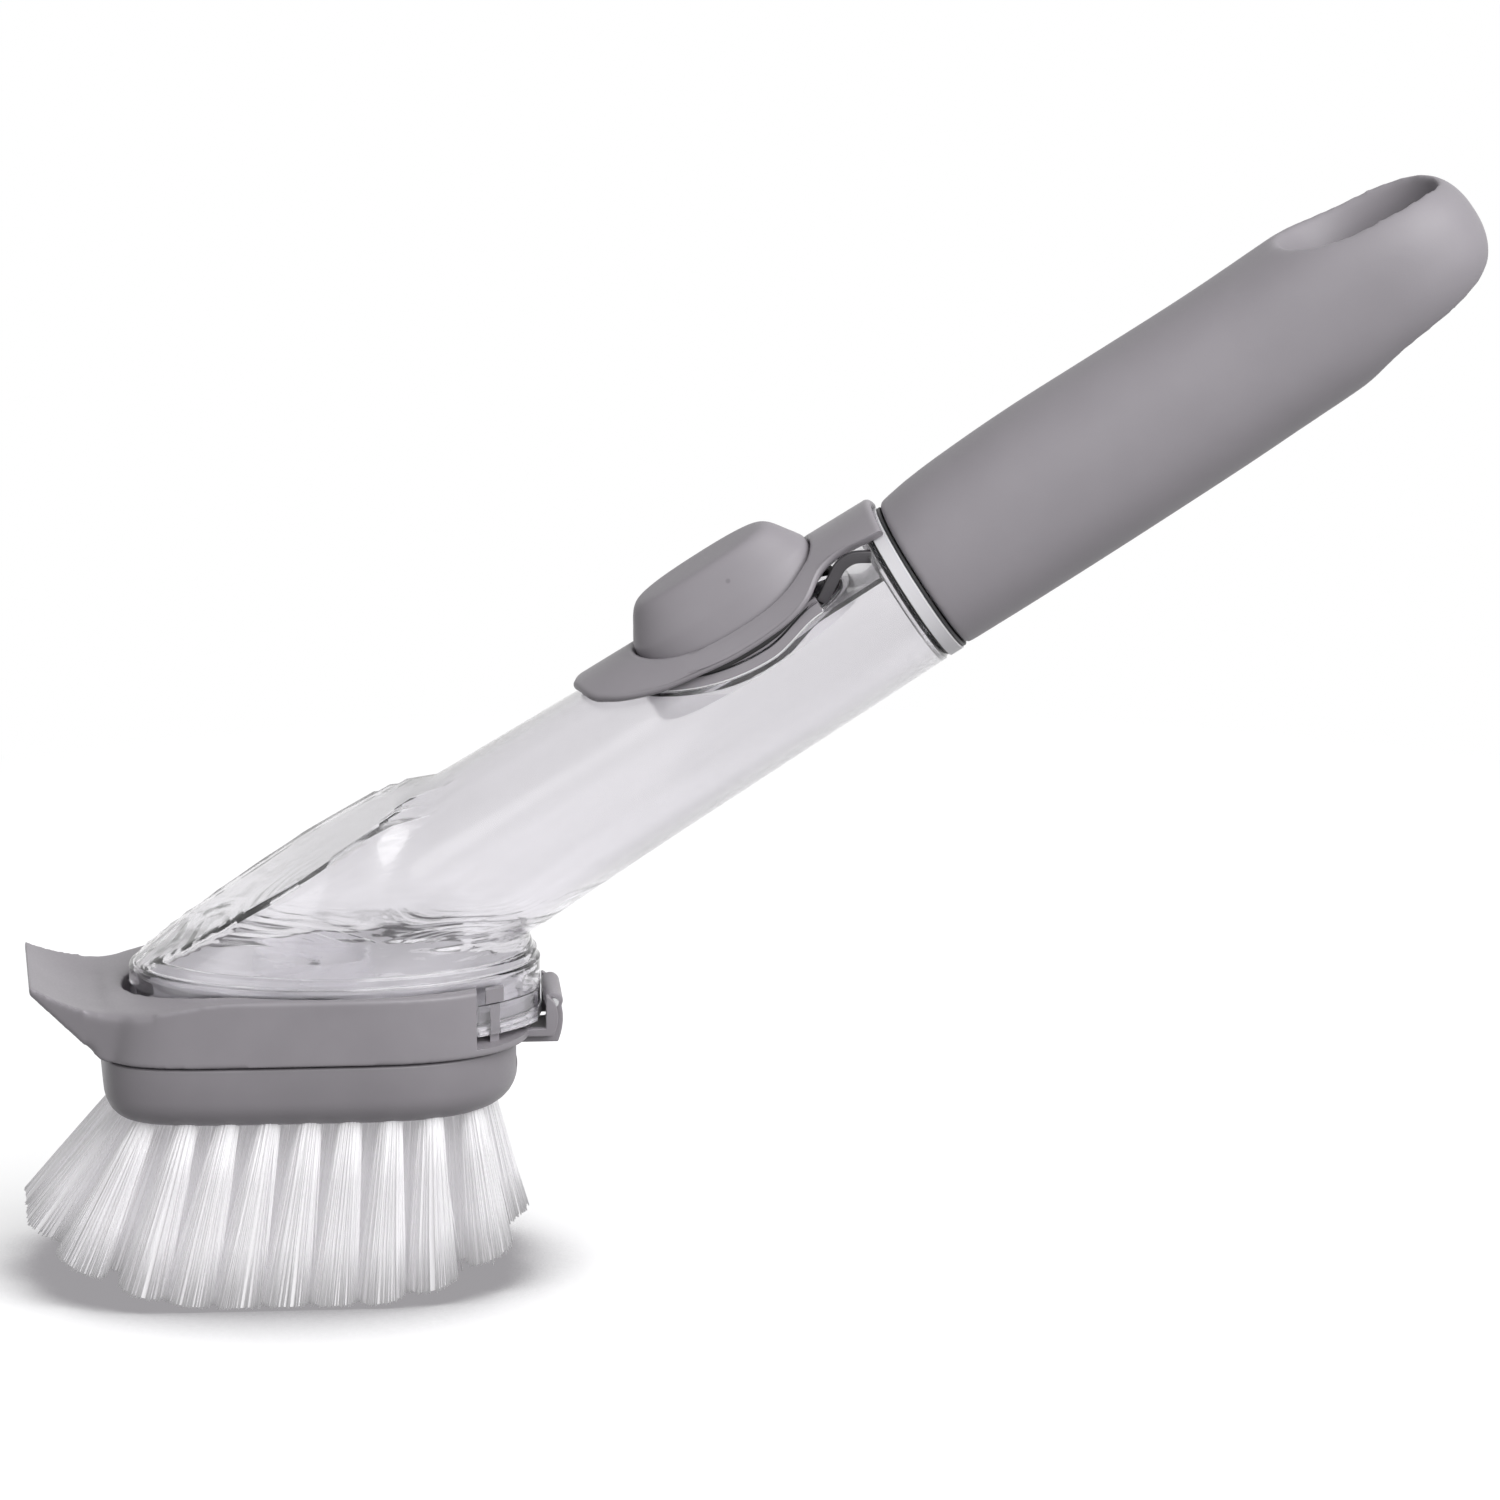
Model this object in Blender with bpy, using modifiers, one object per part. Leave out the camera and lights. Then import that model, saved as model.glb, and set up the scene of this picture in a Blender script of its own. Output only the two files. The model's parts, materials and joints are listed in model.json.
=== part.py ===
"""Soap dispensing dish brush.

A clear slanted reservoir tube stands in a grey frame with a scraper lip. A silicone
dome under a grey plate pumps the soap, a grey handle closes the neck of the tube, and
a bristle refill is held under the frame by a latch at the heel.

Two frames carry the pieces. The head frame has its origin at the middle of the head on
the bristle tips, +X towards the handle and +Z up. The tube frame has its origin on the
tube axis at the mouth of the handle, +X along the axis towards the handle's end and +Z
square to it, on the side of the button.
"""
import math

import bmesh
import bpy
from mathutils import Matrix, Vector

# Shared clearances, and how near two points are taken as one
fit_gap = 0.0003
cut_overrun = 0.004
weld_distance = 0.00001

# Tube axis, set by where it crosses the middle of the head
axis_slope = math.radians(32.5)
axis_height = 0.0502
collar_distance = 0.1148

# Reservoir tube
tube_wall = 0.0016
tube_neck_radius = 0.0130
tube_middle_radius = 0.0138
tube_foot_radius = 0.0153
tube_neck_end = 0.0034
tube_middle_reach = 0.0550
tube_foot_reach = 0.1100
tube_cut_reach = 0.1560
spigot_radius = 0.0096
spigot_wall = 0.0014
spigot_length = 0.0095

# Pocket for the pump in the top of the tube, and the flat between it and the neck
recess_floor = 0.0052
recess_near = 0.0050
pocket_margin = 0.0020
neck_flat = 0.0066
neck_flat_end = 0.0200
valve_stem_radius = 0.0013

# Reservoir foot
foot_toe = 0.0290
foot_heel = 0.0360
foot_half_width = 0.0180
foot_wall = 0.0016
foot_base = 0.0431
foot_top = 0.0503
foot_edge = 0.0008
deck_climb_share = 0.55
shoulder_rise = 0.0072
shoulder_draw = 0.0022
shoulder_power = 1.5
shoulder_steps = 5

# Sole plate with its outlet, seal and valve
sole_thickness = 0.0015
sole_rib_inset = 0.0035
sole_rib_width = 0.0015
outlet_boss_radius = 0.0050
outlet_boss_drop = 0.0021
outlet_bore_radius = 0.0022
valve_seat_radius = 0.0034
valve_seat_depth = 0.0022
valve_thickness = 0.0012
valve_lip_height = 0.0009
retainer_bore_radius = 0.0018
retainer_height = 0.0014
seal_width = 0.0015
seal_height = 0.0015

# Scraper frame round the foot
frame_toe = 0.0340
frame_heel = 0.0345
frame_half_width = 0.0205
frame_middle = 0.0060
frame_base = 0.0390
frame_rim = 0.0497
frame_draft = 0.0005
frame_floor = 0.0013
frame_toe_power = 6.0
frame_heel_power = 2.6
pocket_toe_gap = 0.0010
rim_dip = 0.0027
rim_dip_start = 0.0130
rim_dip_length = 0.0200
opening_half_length = 0.0220
opening_half_width = 0.0105
opening_power = 2.4
window_start = 0.0250
snap_wall = 0.0013
snap_wall_top = 0.0464
snap_hook_start = 0.0266
snap_hook_length = 0.0030
snap_hook_top = 0.0492
snap_hook_reach = 0.0150

# Scraper lip, from its root in the frame to its edge
lip_root = 0.0312
lip_edge = 0.0453
lip_root_half_width = 0.0166
lip_edge_half_width = 0.0122
lip_root_top = 0.0470
lip_edge_top = 0.0507
lip_edge_thickness = 0.0014
lip_hollow = 0.0011
lip_hollow_start_share = 0.25
lip_hollow_power = 1.5
lip_points = 8
lip_steps = 8
lip_wall = 0.0018
lip_pocket_start_share = 0.30
lip_pocket_end_share = 0.84
lip_pocket_steps = 5
lip_root_bottom_clear = 0.0002

# Release latch at the heel
latch_pin_x = 0.0378
latch_pin_z = 0.0444
latch_pin_radius = 0.00075
latch_knuckle_radius = 0.0015
latch_half_width = 0.0063
latch_wall = 0.0016
latch_face = 0.0393
latch_bottom = 0.0370
latch_lip_height = 0.0011
latch_top = 0.0459
latch_nose_bite = 0.0004
ear_thickness = 0.0018
ear_face = 0.0388
ear_top = 0.0461
ear_inner_gap = 0.0005

# Refill block
block_toe = 0.0337
block_heel = 0.0322
block_half_width = 0.0200
block_thickness = 0.0105
block_round = 0.0050
slice_thickness = 0.0012
block_rib_height = 0.0014
block_rib_width = 0.0016
soap_hole_radius = 0.0024
nose_slot_depth = 0.0011
nose_slot_height = 0.0035

# Bristles
tuft_pitch = 0.0064
tuft_border = 0.0041
tuft_least_row = 0.0038
tufts_outer_row = 9
tufts_inner_row = 10
tuft_first_outer = 0.0270
tuft_first_inner = 0.0292
inner_row_share = 0.48
strand_root_share = 0.8
strands_round_tuft = 7
strand_sides = 3
strand_radius = 0.00043
tuft_base_radius = 0.00128
tuft_tip_radius = 0.00285
bristle_flat = 0.0005
bristle_spread_share = 0.25
bristle_lean = math.radians(8.5)
bristle_lean_per_pitch = math.radians(2.43)
toe_lean_start = 0.0200
toe_lean_reach = 0.0092
toe_lean_more = math.radians(20.5)
toe_lean_power = 1.5
toe_lean_side_share = 0.6
trim_centre = 0.0050
trim_reach = 0.0420
trim_rise = 0.0112
trim_power = 2.6
bristle_cut_columns = (1, 4, 7)

# Neck ring and seal
ring_thickness = 0.0019
ring_start = 0.0031
seal_ring_thickness = 0.0006
seal_ring_radius = 0.0129

# Pump under the button
dome_middle = 0.0285
dome_half_length = 0.0160
dome_half_width = 0.0095
dome_power = 2.5
dome_skirt = 0.0099
dome_crown = 0.0217
dome_wall = 0.0013
tray_floor = 0.0005
tray_pad = 0.0012
tray_inset = 0.0010
tray_rim_width = 0.0007
tray_rim_height = 0.0011
pump_seal_width = 0.0008
pump_seal_height = 0.0016
pump_valve_radius = 0.0045
pump_valve_thickness = 0.0009

# Button plate
plate_thickness = 0.0017
plate_near = 0.0010
plate_far = 0.0560
plate_half_width = 0.0127
plate_strut_top = 0.0080
plate_strut_foot = 0.0111
plate_strut_thickness = 0.0014
plate_strut_half_width = 0.0060
plate_strut_bite = 0.0004

# Handle
grip_length = 0.1041
grip_height = 0.0130
grip_half_width = 0.0130
grip_end_start_share = 0.826
grip_end_power = 2.5
grip_section_power = 2.15
grip_edge = 0.0008
core_wall = 0.0016
core_socket_depth = 0.0115
core_bore_radius = 0.0084
core_bore_depth = 0.0560
core_length = 0.0660
core_nose_radius = 0.0070
core_nose_length = 0.0080
hole_middle = 0.0887
hole_half_length = 0.0098
hole_half_width = 0.0052
hole_lip = 0.0034
hole_lip_side = 0.0019
hole_lip_height = 0.0046
hole_power = 2.2
hole_lip_steps = 4
hole_lip_turn_share = 0.97

# Facet counts
round_steps = 40
small_steps = 20
outline_points = 48
grip_points = 36
grip_straight_steps = 12
grip_end_steps = 9
grip_end_turn_share = 0.995
trim_tries = 6
smooth_angle = math.radians(35)

# The button plate's outline: places along the plate and half widths, near end first
plate_length_shares = [0.0, 0.06, 0.11, 0.16, 0.21, 0.27, 0.34, 0.43, 0.55, 0.68, 0.78, 0.87, 0.93, 0.97, 1.0]
plate_width_shares = [0.70, 0.63, 0.61, 0.62, 0.69, 0.87, 0.96, 0.995, 1.0, 0.96, 0.91, 0.80, 0.66, 0.47, 0.0]

# The strut under the plate's neck, from its foot to its head: places and heights of its outer side
strut_place_shares = [1.0, 0.80, 0.45, 0.0]
strut_height_shares = [0.0, 0.45, 0.80, 1.0]

# Rings inside the frame's rim that let its top follow the dip at the toe
rim_inner_shares = [0.8, 0.3]

# The dome's outer rings above its skirt: heights, lengths and widths. The hollow stops below the last two
dome_height_shares = [0.0, 0.46, 0.56, 0.70, 0.84, 0.94, 0.985, 1.0]
dome_length_shares = [1.0, 1.0, 0.965, 0.90, 0.835, 0.77, 0.70, 0.60]
dome_width_shares = [1.0, 0.86, 0.81, 0.72, 0.63, 0.56, 0.50, 0.42]
dome_hollow_rings = 6

# The handle's side view and plan: places along it, top, bottom and half width
grip_place_shares = [0.0, 0.05, 0.12, 0.24, 0.38, 0.53, 0.68, 0.78, 0.86, 1.0]
grip_top_shares = [1.01, 1.08, 1.13, 1.17, 1.15, 1.11, 1.12, 1.15, 1.15, 1.10]
grip_bottom_shares = [0.97, 0.975, 0.98, 0.98, 0.97, 0.95, 0.90, 0.84, 0.80, 0.74]
grip_width_shares = [0.985, 1.0, 1.01, 1.02, 1.02, 1.01, 1.0, 0.99, 0.975, 0.94]

# The latch's and the ear's faces, from the top down: heights and places
latch_height_shares = [0.0, 0.12, 0.30, 0.52, 0.76, 1.0]
latch_reach_shares = [0.20, 0.62, 0.90, 1.0, 0.90, 0.62]

# Working places that follow from the sizes above
collar = Vector((collar_distance * math.cos(axis_slope), 0,
                 axis_height + collar_distance * math.sin(axis_slope)))
foot_centre = (foot_heel - foot_toe) / 2
foot_half_length = (foot_heel + foot_toe) / 2
sole_base = foot_base - fit_gap - sole_thickness
frame_floor_top = frame_base + frame_floor
block_top = frame_base - fit_gap
block_base = block_top - block_thickness
slice_top = block_base + slice_thickness
socket_radius = spigot_radius + fit_gap
core_radius = socket_radius + core_wall
dome_height = dome_crown - dome_skirt

collection = bpy.data.collections.new("soap_dish_brush")
cutter_collection = bpy.data.collections.new("soap_dish_brush_cutters")


def clear_scene():
    for obj in list(bpy.data.objects):
        bpy.data.objects.remove(obj, do_unlink=True)
    for group in (collection, cutter_collection):
        bpy.context.scene.collection.children.link(group)


def plastic(name, colour, roughness, transmission=0.0, alpha=1.0):
    material = bpy.data.materials.new(name)
    material.use_nodes = True
    shader = material.node_tree.nodes["Principled BSDF"]
    shader.inputs["Base Color"].default_value = (*colour, 1.0)
    shader.inputs["Roughness"].default_value = roughness
    shader.inputs["Metallic"].default_value = 0.0
    shader.inputs["Transmission Weight"].default_value = transmission
    shader.inputs["Alpha"].default_value = alpha
    return material


def frame_empty(name, location, parent=None, slope=0.0):
    empty = bpy.data.objects.new(name, None)
    collection.objects.link(empty)
    empty.location = location
    empty.rotation_euler = (0, -slope, 0)
    empty.parent = parent
    return empty


def place(name, mesh, parent, material, location=(0, 0, 0)):
    """One named piece, with its origin at location in its parent's frame."""
    obj = bpy.data.objects.new(name, mesh)
    collection.objects.link(obj)
    obj.parent = parent
    obj.location = location
    if location != (0, 0, 0):
        mesh.transform(Matrix.Translation(-Vector(location)))
    if material:
        mesh.materials.append(material)
    mesh.shade_smooth()
    mesh.set_sharp_from_angle(angle=smooth_angle)
    return obj


def cutter(name, mesh, parent):
    """A guide solid for a Boolean, left out of the part itself."""
    obj = bpy.data.objects.new(name, mesh)
    cutter_collection.objects.link(obj)
    obj.parent = parent
    obj.hide_render = True
    obj.display_type = "WIRE"
    return obj


def cut(obj, other, operation="DIFFERENCE"):
    modifier = obj.modifiers.new(operation.lower(), "BOOLEAN")
    modifier.operation = operation
    modifier.solver = "EXACT"
    modifier.object = other


def mesh_from(bm, name):
    bmesh.ops.recalc_face_normals(bm, faces=bm.faces)
    mesh = bpy.data.meshes.new(name)
    bm.to_mesh(mesh)
    bm.free()
    return mesh


def loft(name, rings, closed=False):
    """Skin rings of equal point counts, capped at both ends or closed on itself."""
    bm = bmesh.new()
    loops = [[bm.verts.new(point) for point in ring] for ring in rings]
    pairs = list(zip(loops, loops[1:]))
    if closed:
        pairs.append((loops[-1], loops[0]))
    for low, high in pairs:
        for i in range(len(low)):
            j = (i + 1) % len(low)
            bm.faces.new((low[i], low[j], high[j], high[i]))
    if not closed:
        bm.faces.new(loops[0])
        bm.faces.new(loops[-1])
    return mesh_from(bm, name)


def box(name, low, high):
    bm = bmesh.new()
    bmesh.ops.create_cube(bm, size=1.0)
    low, high = Vector(low), Vector(high)
    size = high - low
    bmesh.ops.scale(bm, vec=size, verts=bm.verts)
    bmesh.ops.translate(bm, vec=(low + high) / 2, verts=bm.verts)
    return mesh_from(bm, name)


def rod(name, radius, start, end, steps=small_steps):
    """A cylinder between two points."""
    start, end = Vector(start), Vector(end)
    along = end - start
    turn = along.to_track_quat("Z", "Y").to_matrix().to_4x4()
    bm = bmesh.new()
    bmesh.ops.create_cone(bm, cap_ends=True, segments=steps, radius1=radius,
                          radius2=radius, depth=along.length)
    bmesh.ops.transform(bm, matrix=Matrix.Translation((start + end) / 2) @ turn, verts=bm.verts)
    return mesh_from(bm, name)


def turned_mesh(name, profile, axis="X"):
    """Turn a profile of (along, radius) points, its outer side running back along the axis."""
    bm = bmesh.new()
    if axis == "X":
        verts = [bm.verts.new((along, 0, radius)) for along, radius in profile]
    else:
        verts = [bm.verts.new((radius, 0, along)) for along, radius in profile]
    for first, second in zip(verts, verts[1:]):
        bm.edges.new((first, second))
    if profile[0][1] > 0:
        bm.edges.new((verts[-1], verts[0]))
    mesh = bpy.data.meshes.new(name)
    bm.to_mesh(mesh)
    bm.free()
    return mesh


def turn(obj, steps=round_steps, axis="X"):
    screw = obj.modifiers.new("turn", "SCREW")
    screw.axis = axis
    screw.angle = 2 * math.pi
    screw.steps = steps
    screw.render_steps = steps
    screw.use_merge_vertices = True
    screw.merge_threshold = weld_distance
    screw.use_smooth_shade = True
    return obj


def turned(name, profile, parent, material, steps=round_steps, axis="X"):
    obj = bpy.data.objects.new(name, turned_mesh(name, profile, axis))
    collection.objects.link(obj)
    obj.parent = parent
    obj.data.materials.append(material)
    return turn(obj, steps, axis)


def turned_cutter(name, profile, parent, steps=round_steps, axis="X"):
    return turn(cutter(name, turned_mesh(name, profile, axis), parent), steps, axis)


def flat_form(name, outline, bottom, top, upright="XY"):
    """A filled 2D curve extruded between two levels, made a closed mesh."""
    curve = bpy.data.curves.new(name, "CURVE")
    curve.dimensions = "2D"
    curve.fill_mode = "BOTH"
    curve.extrude = (top - bottom) / 2
    spline = curve.splines.new("POLY")
    spline.points.add(len(outline) - 1)
    for point, (x, y) in zip(spline.points, outline):
        point.co = (x, y, 0, 1)
    spline.use_cyclic_u = True
    guide = bpy.data.objects.new(name, curve)
    bpy.context.scene.collection.objects.link(guide)
    if upright == "XZ":
        guide.rotation_euler = (math.pi / 2, 0, 0)
        guide.location = (0, (top + bottom) / 2, 0)
    else:
        guide.location = (0, 0, (top + bottom) / 2)
    depsgraph = bpy.context.evaluated_depsgraph_get()
    mesh = bpy.data.meshes.new_from_object(guide.evaluated_get(depsgraph))
    mesh.transform(guide.matrix_world)
    bpy.data.objects.remove(guide, do_unlink=True)
    bm = bmesh.new()
    bm.from_mesh(mesh)
    bmesh.ops.remove_doubles(bm, verts=bm.verts, dist=weld_distance)
    bpy.data.meshes.remove(mesh)
    return mesh_from(bm, name)


def power(value, exponent):
    return math.copysign(abs(value) ** exponent, value)


def rounded_outline(toe, heel, middle, half_width, toe_power, heel_power, count=outline_points):
    """A plan outline, blunt or round at each end by its own power, toe at minus X."""
    points = []
    for i in range(count):
        angle = 2 * math.pi * (i + 0.5) / count
        c, s = math.cos(angle), math.sin(angle)
        reach, bend = (heel - middle, heel_power) if c > 0 else (toe + middle, toe_power)
        points.append((middle + reach * power(c, 2 / bend), half_width * power(s, 2 / bend)))
    return points


def oval(centre, half_length, half_width, count=outline_points, bend=2.0):
    points = []
    for i in range(count):
        angle = 2 * math.pi * (i + 0.5) / count
        points.append((centre + half_length * power(math.cos(angle), 2 / bend),
                       half_width * power(math.sin(angle), 2 / bend)))
    return points


def at_height(outline, height):
    """Lift an outline to a level, or to a height that depends on the place along X."""
    if callable(height):
        return [(x, y, height(x)) for x, y in outline]
    return [(x, y, height) for x, y in outline]


def smooth_step(value):
    value = min(max(value, 0.0), 1.0)
    return value * value * (3 - 2 * value)


def read_shares(places, values, place):
    """Follow a list of shares smoothly with a Catmull-Rom curve."""
    for i in range(len(places) - 1):
        if place <= places[i + 1] or i == len(places) - 2:
            break
    before, after = max(i - 1, 0), min(i + 2, len(places) - 1)
    span = places[i + 1] - places[i]
    u = (place - places[i]) / span
    slope_a = (values[i + 1] - values[before]) / (places[i + 1] - places[before]) * span
    slope_b = (values[after] - values[i]) / (places[after] - places[i]) * span
    u2, u3 = u * u, u * u * u
    return ((2 * u3 - 3 * u2 + 1) * values[i] + (u3 - 2 * u2 + u) * slope_a
            + (3 * u2 - 2 * u3) * values[i + 1] + (u3 - u2) * slope_b)


# Reservoir

def tube_profile(inset):
    """Outer line of the tube from neck to foot, moved in by a wall."""
    return [(-tube_neck_end, tube_neck_radius - inset),
            (-tube_middle_reach, tube_middle_radius - inset),
            (-tube_foot_reach, tube_foot_radius - inset),
            (-tube_cut_reach, tube_foot_radius - inset)]


def pocket_outline(grow):
    """The pump's pocket seen from above, set by the seal round the dome."""
    return dome_outline(grow=fit_gap + pump_seal_width + pocket_margin + grow)


def pocket_form(name, wall):
    """The pump's pocket, or the pocket with a wall round and under it."""
    return flat_form(name, pocket_outline(wall), recess_floor - wall, tube_foot_radius + cut_overrun)


def neck_flat_form(name, wall):
    """The flat between the pocket and the neck, or the flat with a wall round and under it."""
    return box(name, (-neck_flat_end, -tube_foot_radius, neck_flat - wall),
               (-recess_near + wall, tube_foot_radius, tube_foot_radius + cut_overrun))


def make_tube(tube_frame, head_frame, clear):
    outer = tube_profile(0)
    profile = ([(spigot_length, 0), (spigot_length, spigot_radius),
                (-tube_neck_end, spigot_radius)] + outer + [(-tube_cut_reach, 0)])
    tube = turned("reservoir_tube", profile, tube_frame, clear)
    cut(tube, cutter("pump_pocket", pocket_form("pump_pocket", 0), tube_frame))
    cut(tube, cutter("neck_flat", neck_flat_form("neck_flat", 0), tube_frame))

    bore = spigot_radius - spigot_wall
    step = -tube_neck_end - spigot_wall
    inner = [(step, tube_neck_radius - tube_wall)] + tube_profile(tube_wall)[1:]
    end = -tube_cut_reach - cut_overrun
    inner[-1] = (end, inner[-1][1])
    profile = ([(spigot_length + cut_overrun, 0), (spigot_length + cut_overrun, bore), (step, bore)]
               + inner + [(end, 0)])
    cavity = turned_cutter("tube_cavity", profile, tube_frame)
    cut(cavity, cutter("pump_pocket_wall", pocket_form("pump_pocket_wall", tube_wall), tube_frame))
    cut(cavity, cutter("neck_flat_wall", neck_flat_form("neck_flat_wall", tube_wall), tube_frame))
    cut(tube, cavity)

    cut(tube, cutter("pump_hole", rod("pump_hole", valve_stem_radius + fit_gap,
                                      (-dome_middle, 0, 0), (-dome_middle, 0, recess_floor + cut_overrun)),
                     tube_frame))
    below = foot_top + fit_gap
    floor = box("tube_floor_cut", (-tube_cut_reach, -tube_cut_reach, -tube_cut_reach),
                (collar.x, tube_cut_reach, below))
    cut(tube, cutter("tube_floor_cut", floor, head_frame))


def foot_outline(inset=0.0):
    return oval(foot_centre, foot_half_length - inset, foot_half_width - inset)


def foot_deck(x):
    """The foot's top is level, and climbs with the tube's underside behind it."""
    behind = (tube_foot_radius + fit_gap) / math.sin(axis_slope)
    start = behind + (foot_top - axis_height) / math.tan(axis_slope)
    return foot_top + max(0.0, x - start) * math.tan(axis_slope) * deck_climb_share


def tube_section(radius):
    """The level section of the slanted tube at the foot's top."""
    return oval((foot_top - axis_height) / math.tan(axis_slope), radius / math.sin(axis_slope), radius)


def shoulder_ring(share):
    """One level of the shoulder that climbs the tube's sides, behind the line of the tube's front."""
    rise = -foot_wall / 2 + (shoulder_rise + foot_wall / 2) * share
    draw = foot_edge + fit_gap + shoulder_draw * share ** shoulder_power
    toe = foot_toe - foot_edge - fit_gap - max(0.0, rise) / math.tan(axis_slope)
    heel = foot_heel - draw
    outline = oval((heel - toe) / 2, (heel + toe) / 2, foot_half_width - draw)
    return at_height(outline, foot_top + rise)


def make_foot(head_frame, tube_frame, clear):
    mouth = tube_section(tube_foot_radius - tube_wall)
    rings = [at_height(foot_outline(), foot_base),
             at_height(foot_outline(), lambda x: foot_deck(x) - foot_edge),
             at_height(foot_outline(foot_edge), foot_deck),
             at_height(tube_section(tube_foot_radius + fit_gap), foot_top),
             at_height(mouth, foot_top),
             at_height(mouth, foot_top - foot_wall),
             at_height(foot_outline(foot_wall), lambda x: foot_deck(x) - foot_wall),
             at_height(foot_outline(foot_wall), foot_base)]
    foot = place("reservoir_foot", loft("reservoir_foot", rings, closed=True), head_frame, clear)
    levels = [shoulder_ring(i / shoulder_steps) for i in range(shoulder_steps + 1)]
    shoulder = cutter("foot_shoulder", loft("foot_shoulder", levels), head_frame)
    around = tube_foot_radius + fit_gap
    room = [(-tube_neck_end, 0), (-tube_neck_end, around), (-tube_cut_reach, around), (-tube_cut_reach, 0)]
    cut(shoulder, turned_cutter("tube_room", room, tube_frame))
    cut(foot, shoulder, "UNION")


def make_sole(head_frame, frosted, silicone):
    sole_top = sole_base + sole_thickness
    plate = flat_form("sole_plate", foot_outline(), sole_base, sole_top)
    plate = place("sole_plate", plate, head_frame, frosted)
    rib_top = sole_base + sole_thickness / 2
    rib = loft("sole_rib", [at_height(foot_outline(sole_rib_inset), frame_floor_top + fit_gap),
                            at_height(foot_outline(sole_rib_inset), rib_top),
                            at_height(foot_outline(sole_rib_inset + sole_rib_width), rib_top),
                            at_height(foot_outline(sole_rib_inset + sole_rib_width),
                                      frame_floor_top + fit_gap)], closed=True)
    cut(plate, cutter("sole_rib", rib, head_frame), "UNION")
    boss = rod("outlet_boss", outlet_boss_radius, (0, 0, sole_base - outlet_boss_drop), (0, 0, rib_top))
    cut(plate, cutter("outlet_boss", boss, head_frame), "UNION")
    seat_floor = sole_top - valve_seat_depth
    above, below = sole_top + cut_overrun, sole_base - outlet_boss_drop - cut_overrun
    profile = [(above, 0), (above, valve_seat_radius), (seat_floor, valve_seat_radius),
               (seat_floor, outlet_bore_radius), (below, outlet_bore_radius), (below, 0)]
    bore = turned_cutter("outlet_bore", profile, head_frame, small_steps, "Z")
    cut(plate, bore)

    valve_base = seat_floor + fit_gap
    valve_radius = valve_seat_radius - fit_gap
    valve_top = valve_base + valve_thickness
    lip_radius = outlet_bore_radius - fit_gap
    turned("outlet_valve", [(valve_top, 0), (valve_top, valve_radius), (valve_base, valve_radius),
                            (valve_base, lip_radius), (valve_base - valve_lip_height, lip_radius / 2),
                            (valve_base - valve_lip_height, 0)], head_frame, silicone, small_steps, "Z")
    retainer_base = valve_top + fit_gap
    turned("valve_retainer", [(retainer_base + retainer_height, retainer_bore_radius),
                              (retainer_base + retainer_height, valve_radius),
                              (retainer_base, valve_radius),
                              (retainer_base, retainer_bore_radius)], head_frame, frosted, small_steps, "Z")

    seal_outer = foot_wall + fit_gap
    seal = loft("sole_seal", [at_height(foot_outline(seal_outer), foot_base),
                              at_height(foot_outline(seal_outer), foot_base + seal_height),
                              at_height(foot_outline(seal_outer + seal_width), foot_base + seal_height),
                              at_height(foot_outline(seal_outer + seal_width), foot_base)], closed=True)
    place("sole_seal", seal, head_frame, silicone)


# Scraper frame

def frame_outline(inset=0.0):
    return rounded_outline(frame_toe - inset, frame_heel - inset, frame_middle, frame_half_width - inset,
                           frame_toe_power, frame_heel_power)


def rim_height(x):
    return frame_rim - rim_dip * smooth_step((-rim_dip_start - x) / rim_dip_length)


def shrink(outline, share):
    return [(frame_middle + (x - frame_middle) * share, y * share) for x, y in outline]


def lip_section(x_share, inset=0.0):
    """One section of the scraper lip, its top hollowed across and along."""
    x = -lip_root - (lip_edge - lip_root) * x_share
    half_width = lip_root_half_width + (lip_edge_half_width - lip_root_half_width) * x_share - inset
    rise = lip_edge_top - lip_root_top
    top = lip_root_top + rise * x_share ** 2 - inset
    flat = (frame_toe - lip_root) / (lip_edge - lip_root)
    slope_share = max(0.0, x_share - flat) / (1 - flat)
    edge_bottom = lip_edge_top - lip_edge_thickness
    root_bottom = frame_base + lip_root_bottom_clear
    bottom = root_bottom + (edge_bottom - root_bottom) * slope_share
    reach_share = lip_hollow_start_share + (1 - lip_hollow_start_share) * x_share
    hollow = lip_hollow * math.sin(math.pi * reach_share ** lip_hollow_power)
    upper = []
    for i in range(lip_points + 1):
        across = -1 + 2 * i / lip_points
        upper.append((x, half_width * across, top - hollow * (1 - across * across)))
    if inset:
        bottom -= cut_overrun
    lower = [(x, half_width * across, bottom) for across in (1, 1 / 3, -1 / 3, -1)]
    return upper + lower


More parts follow.
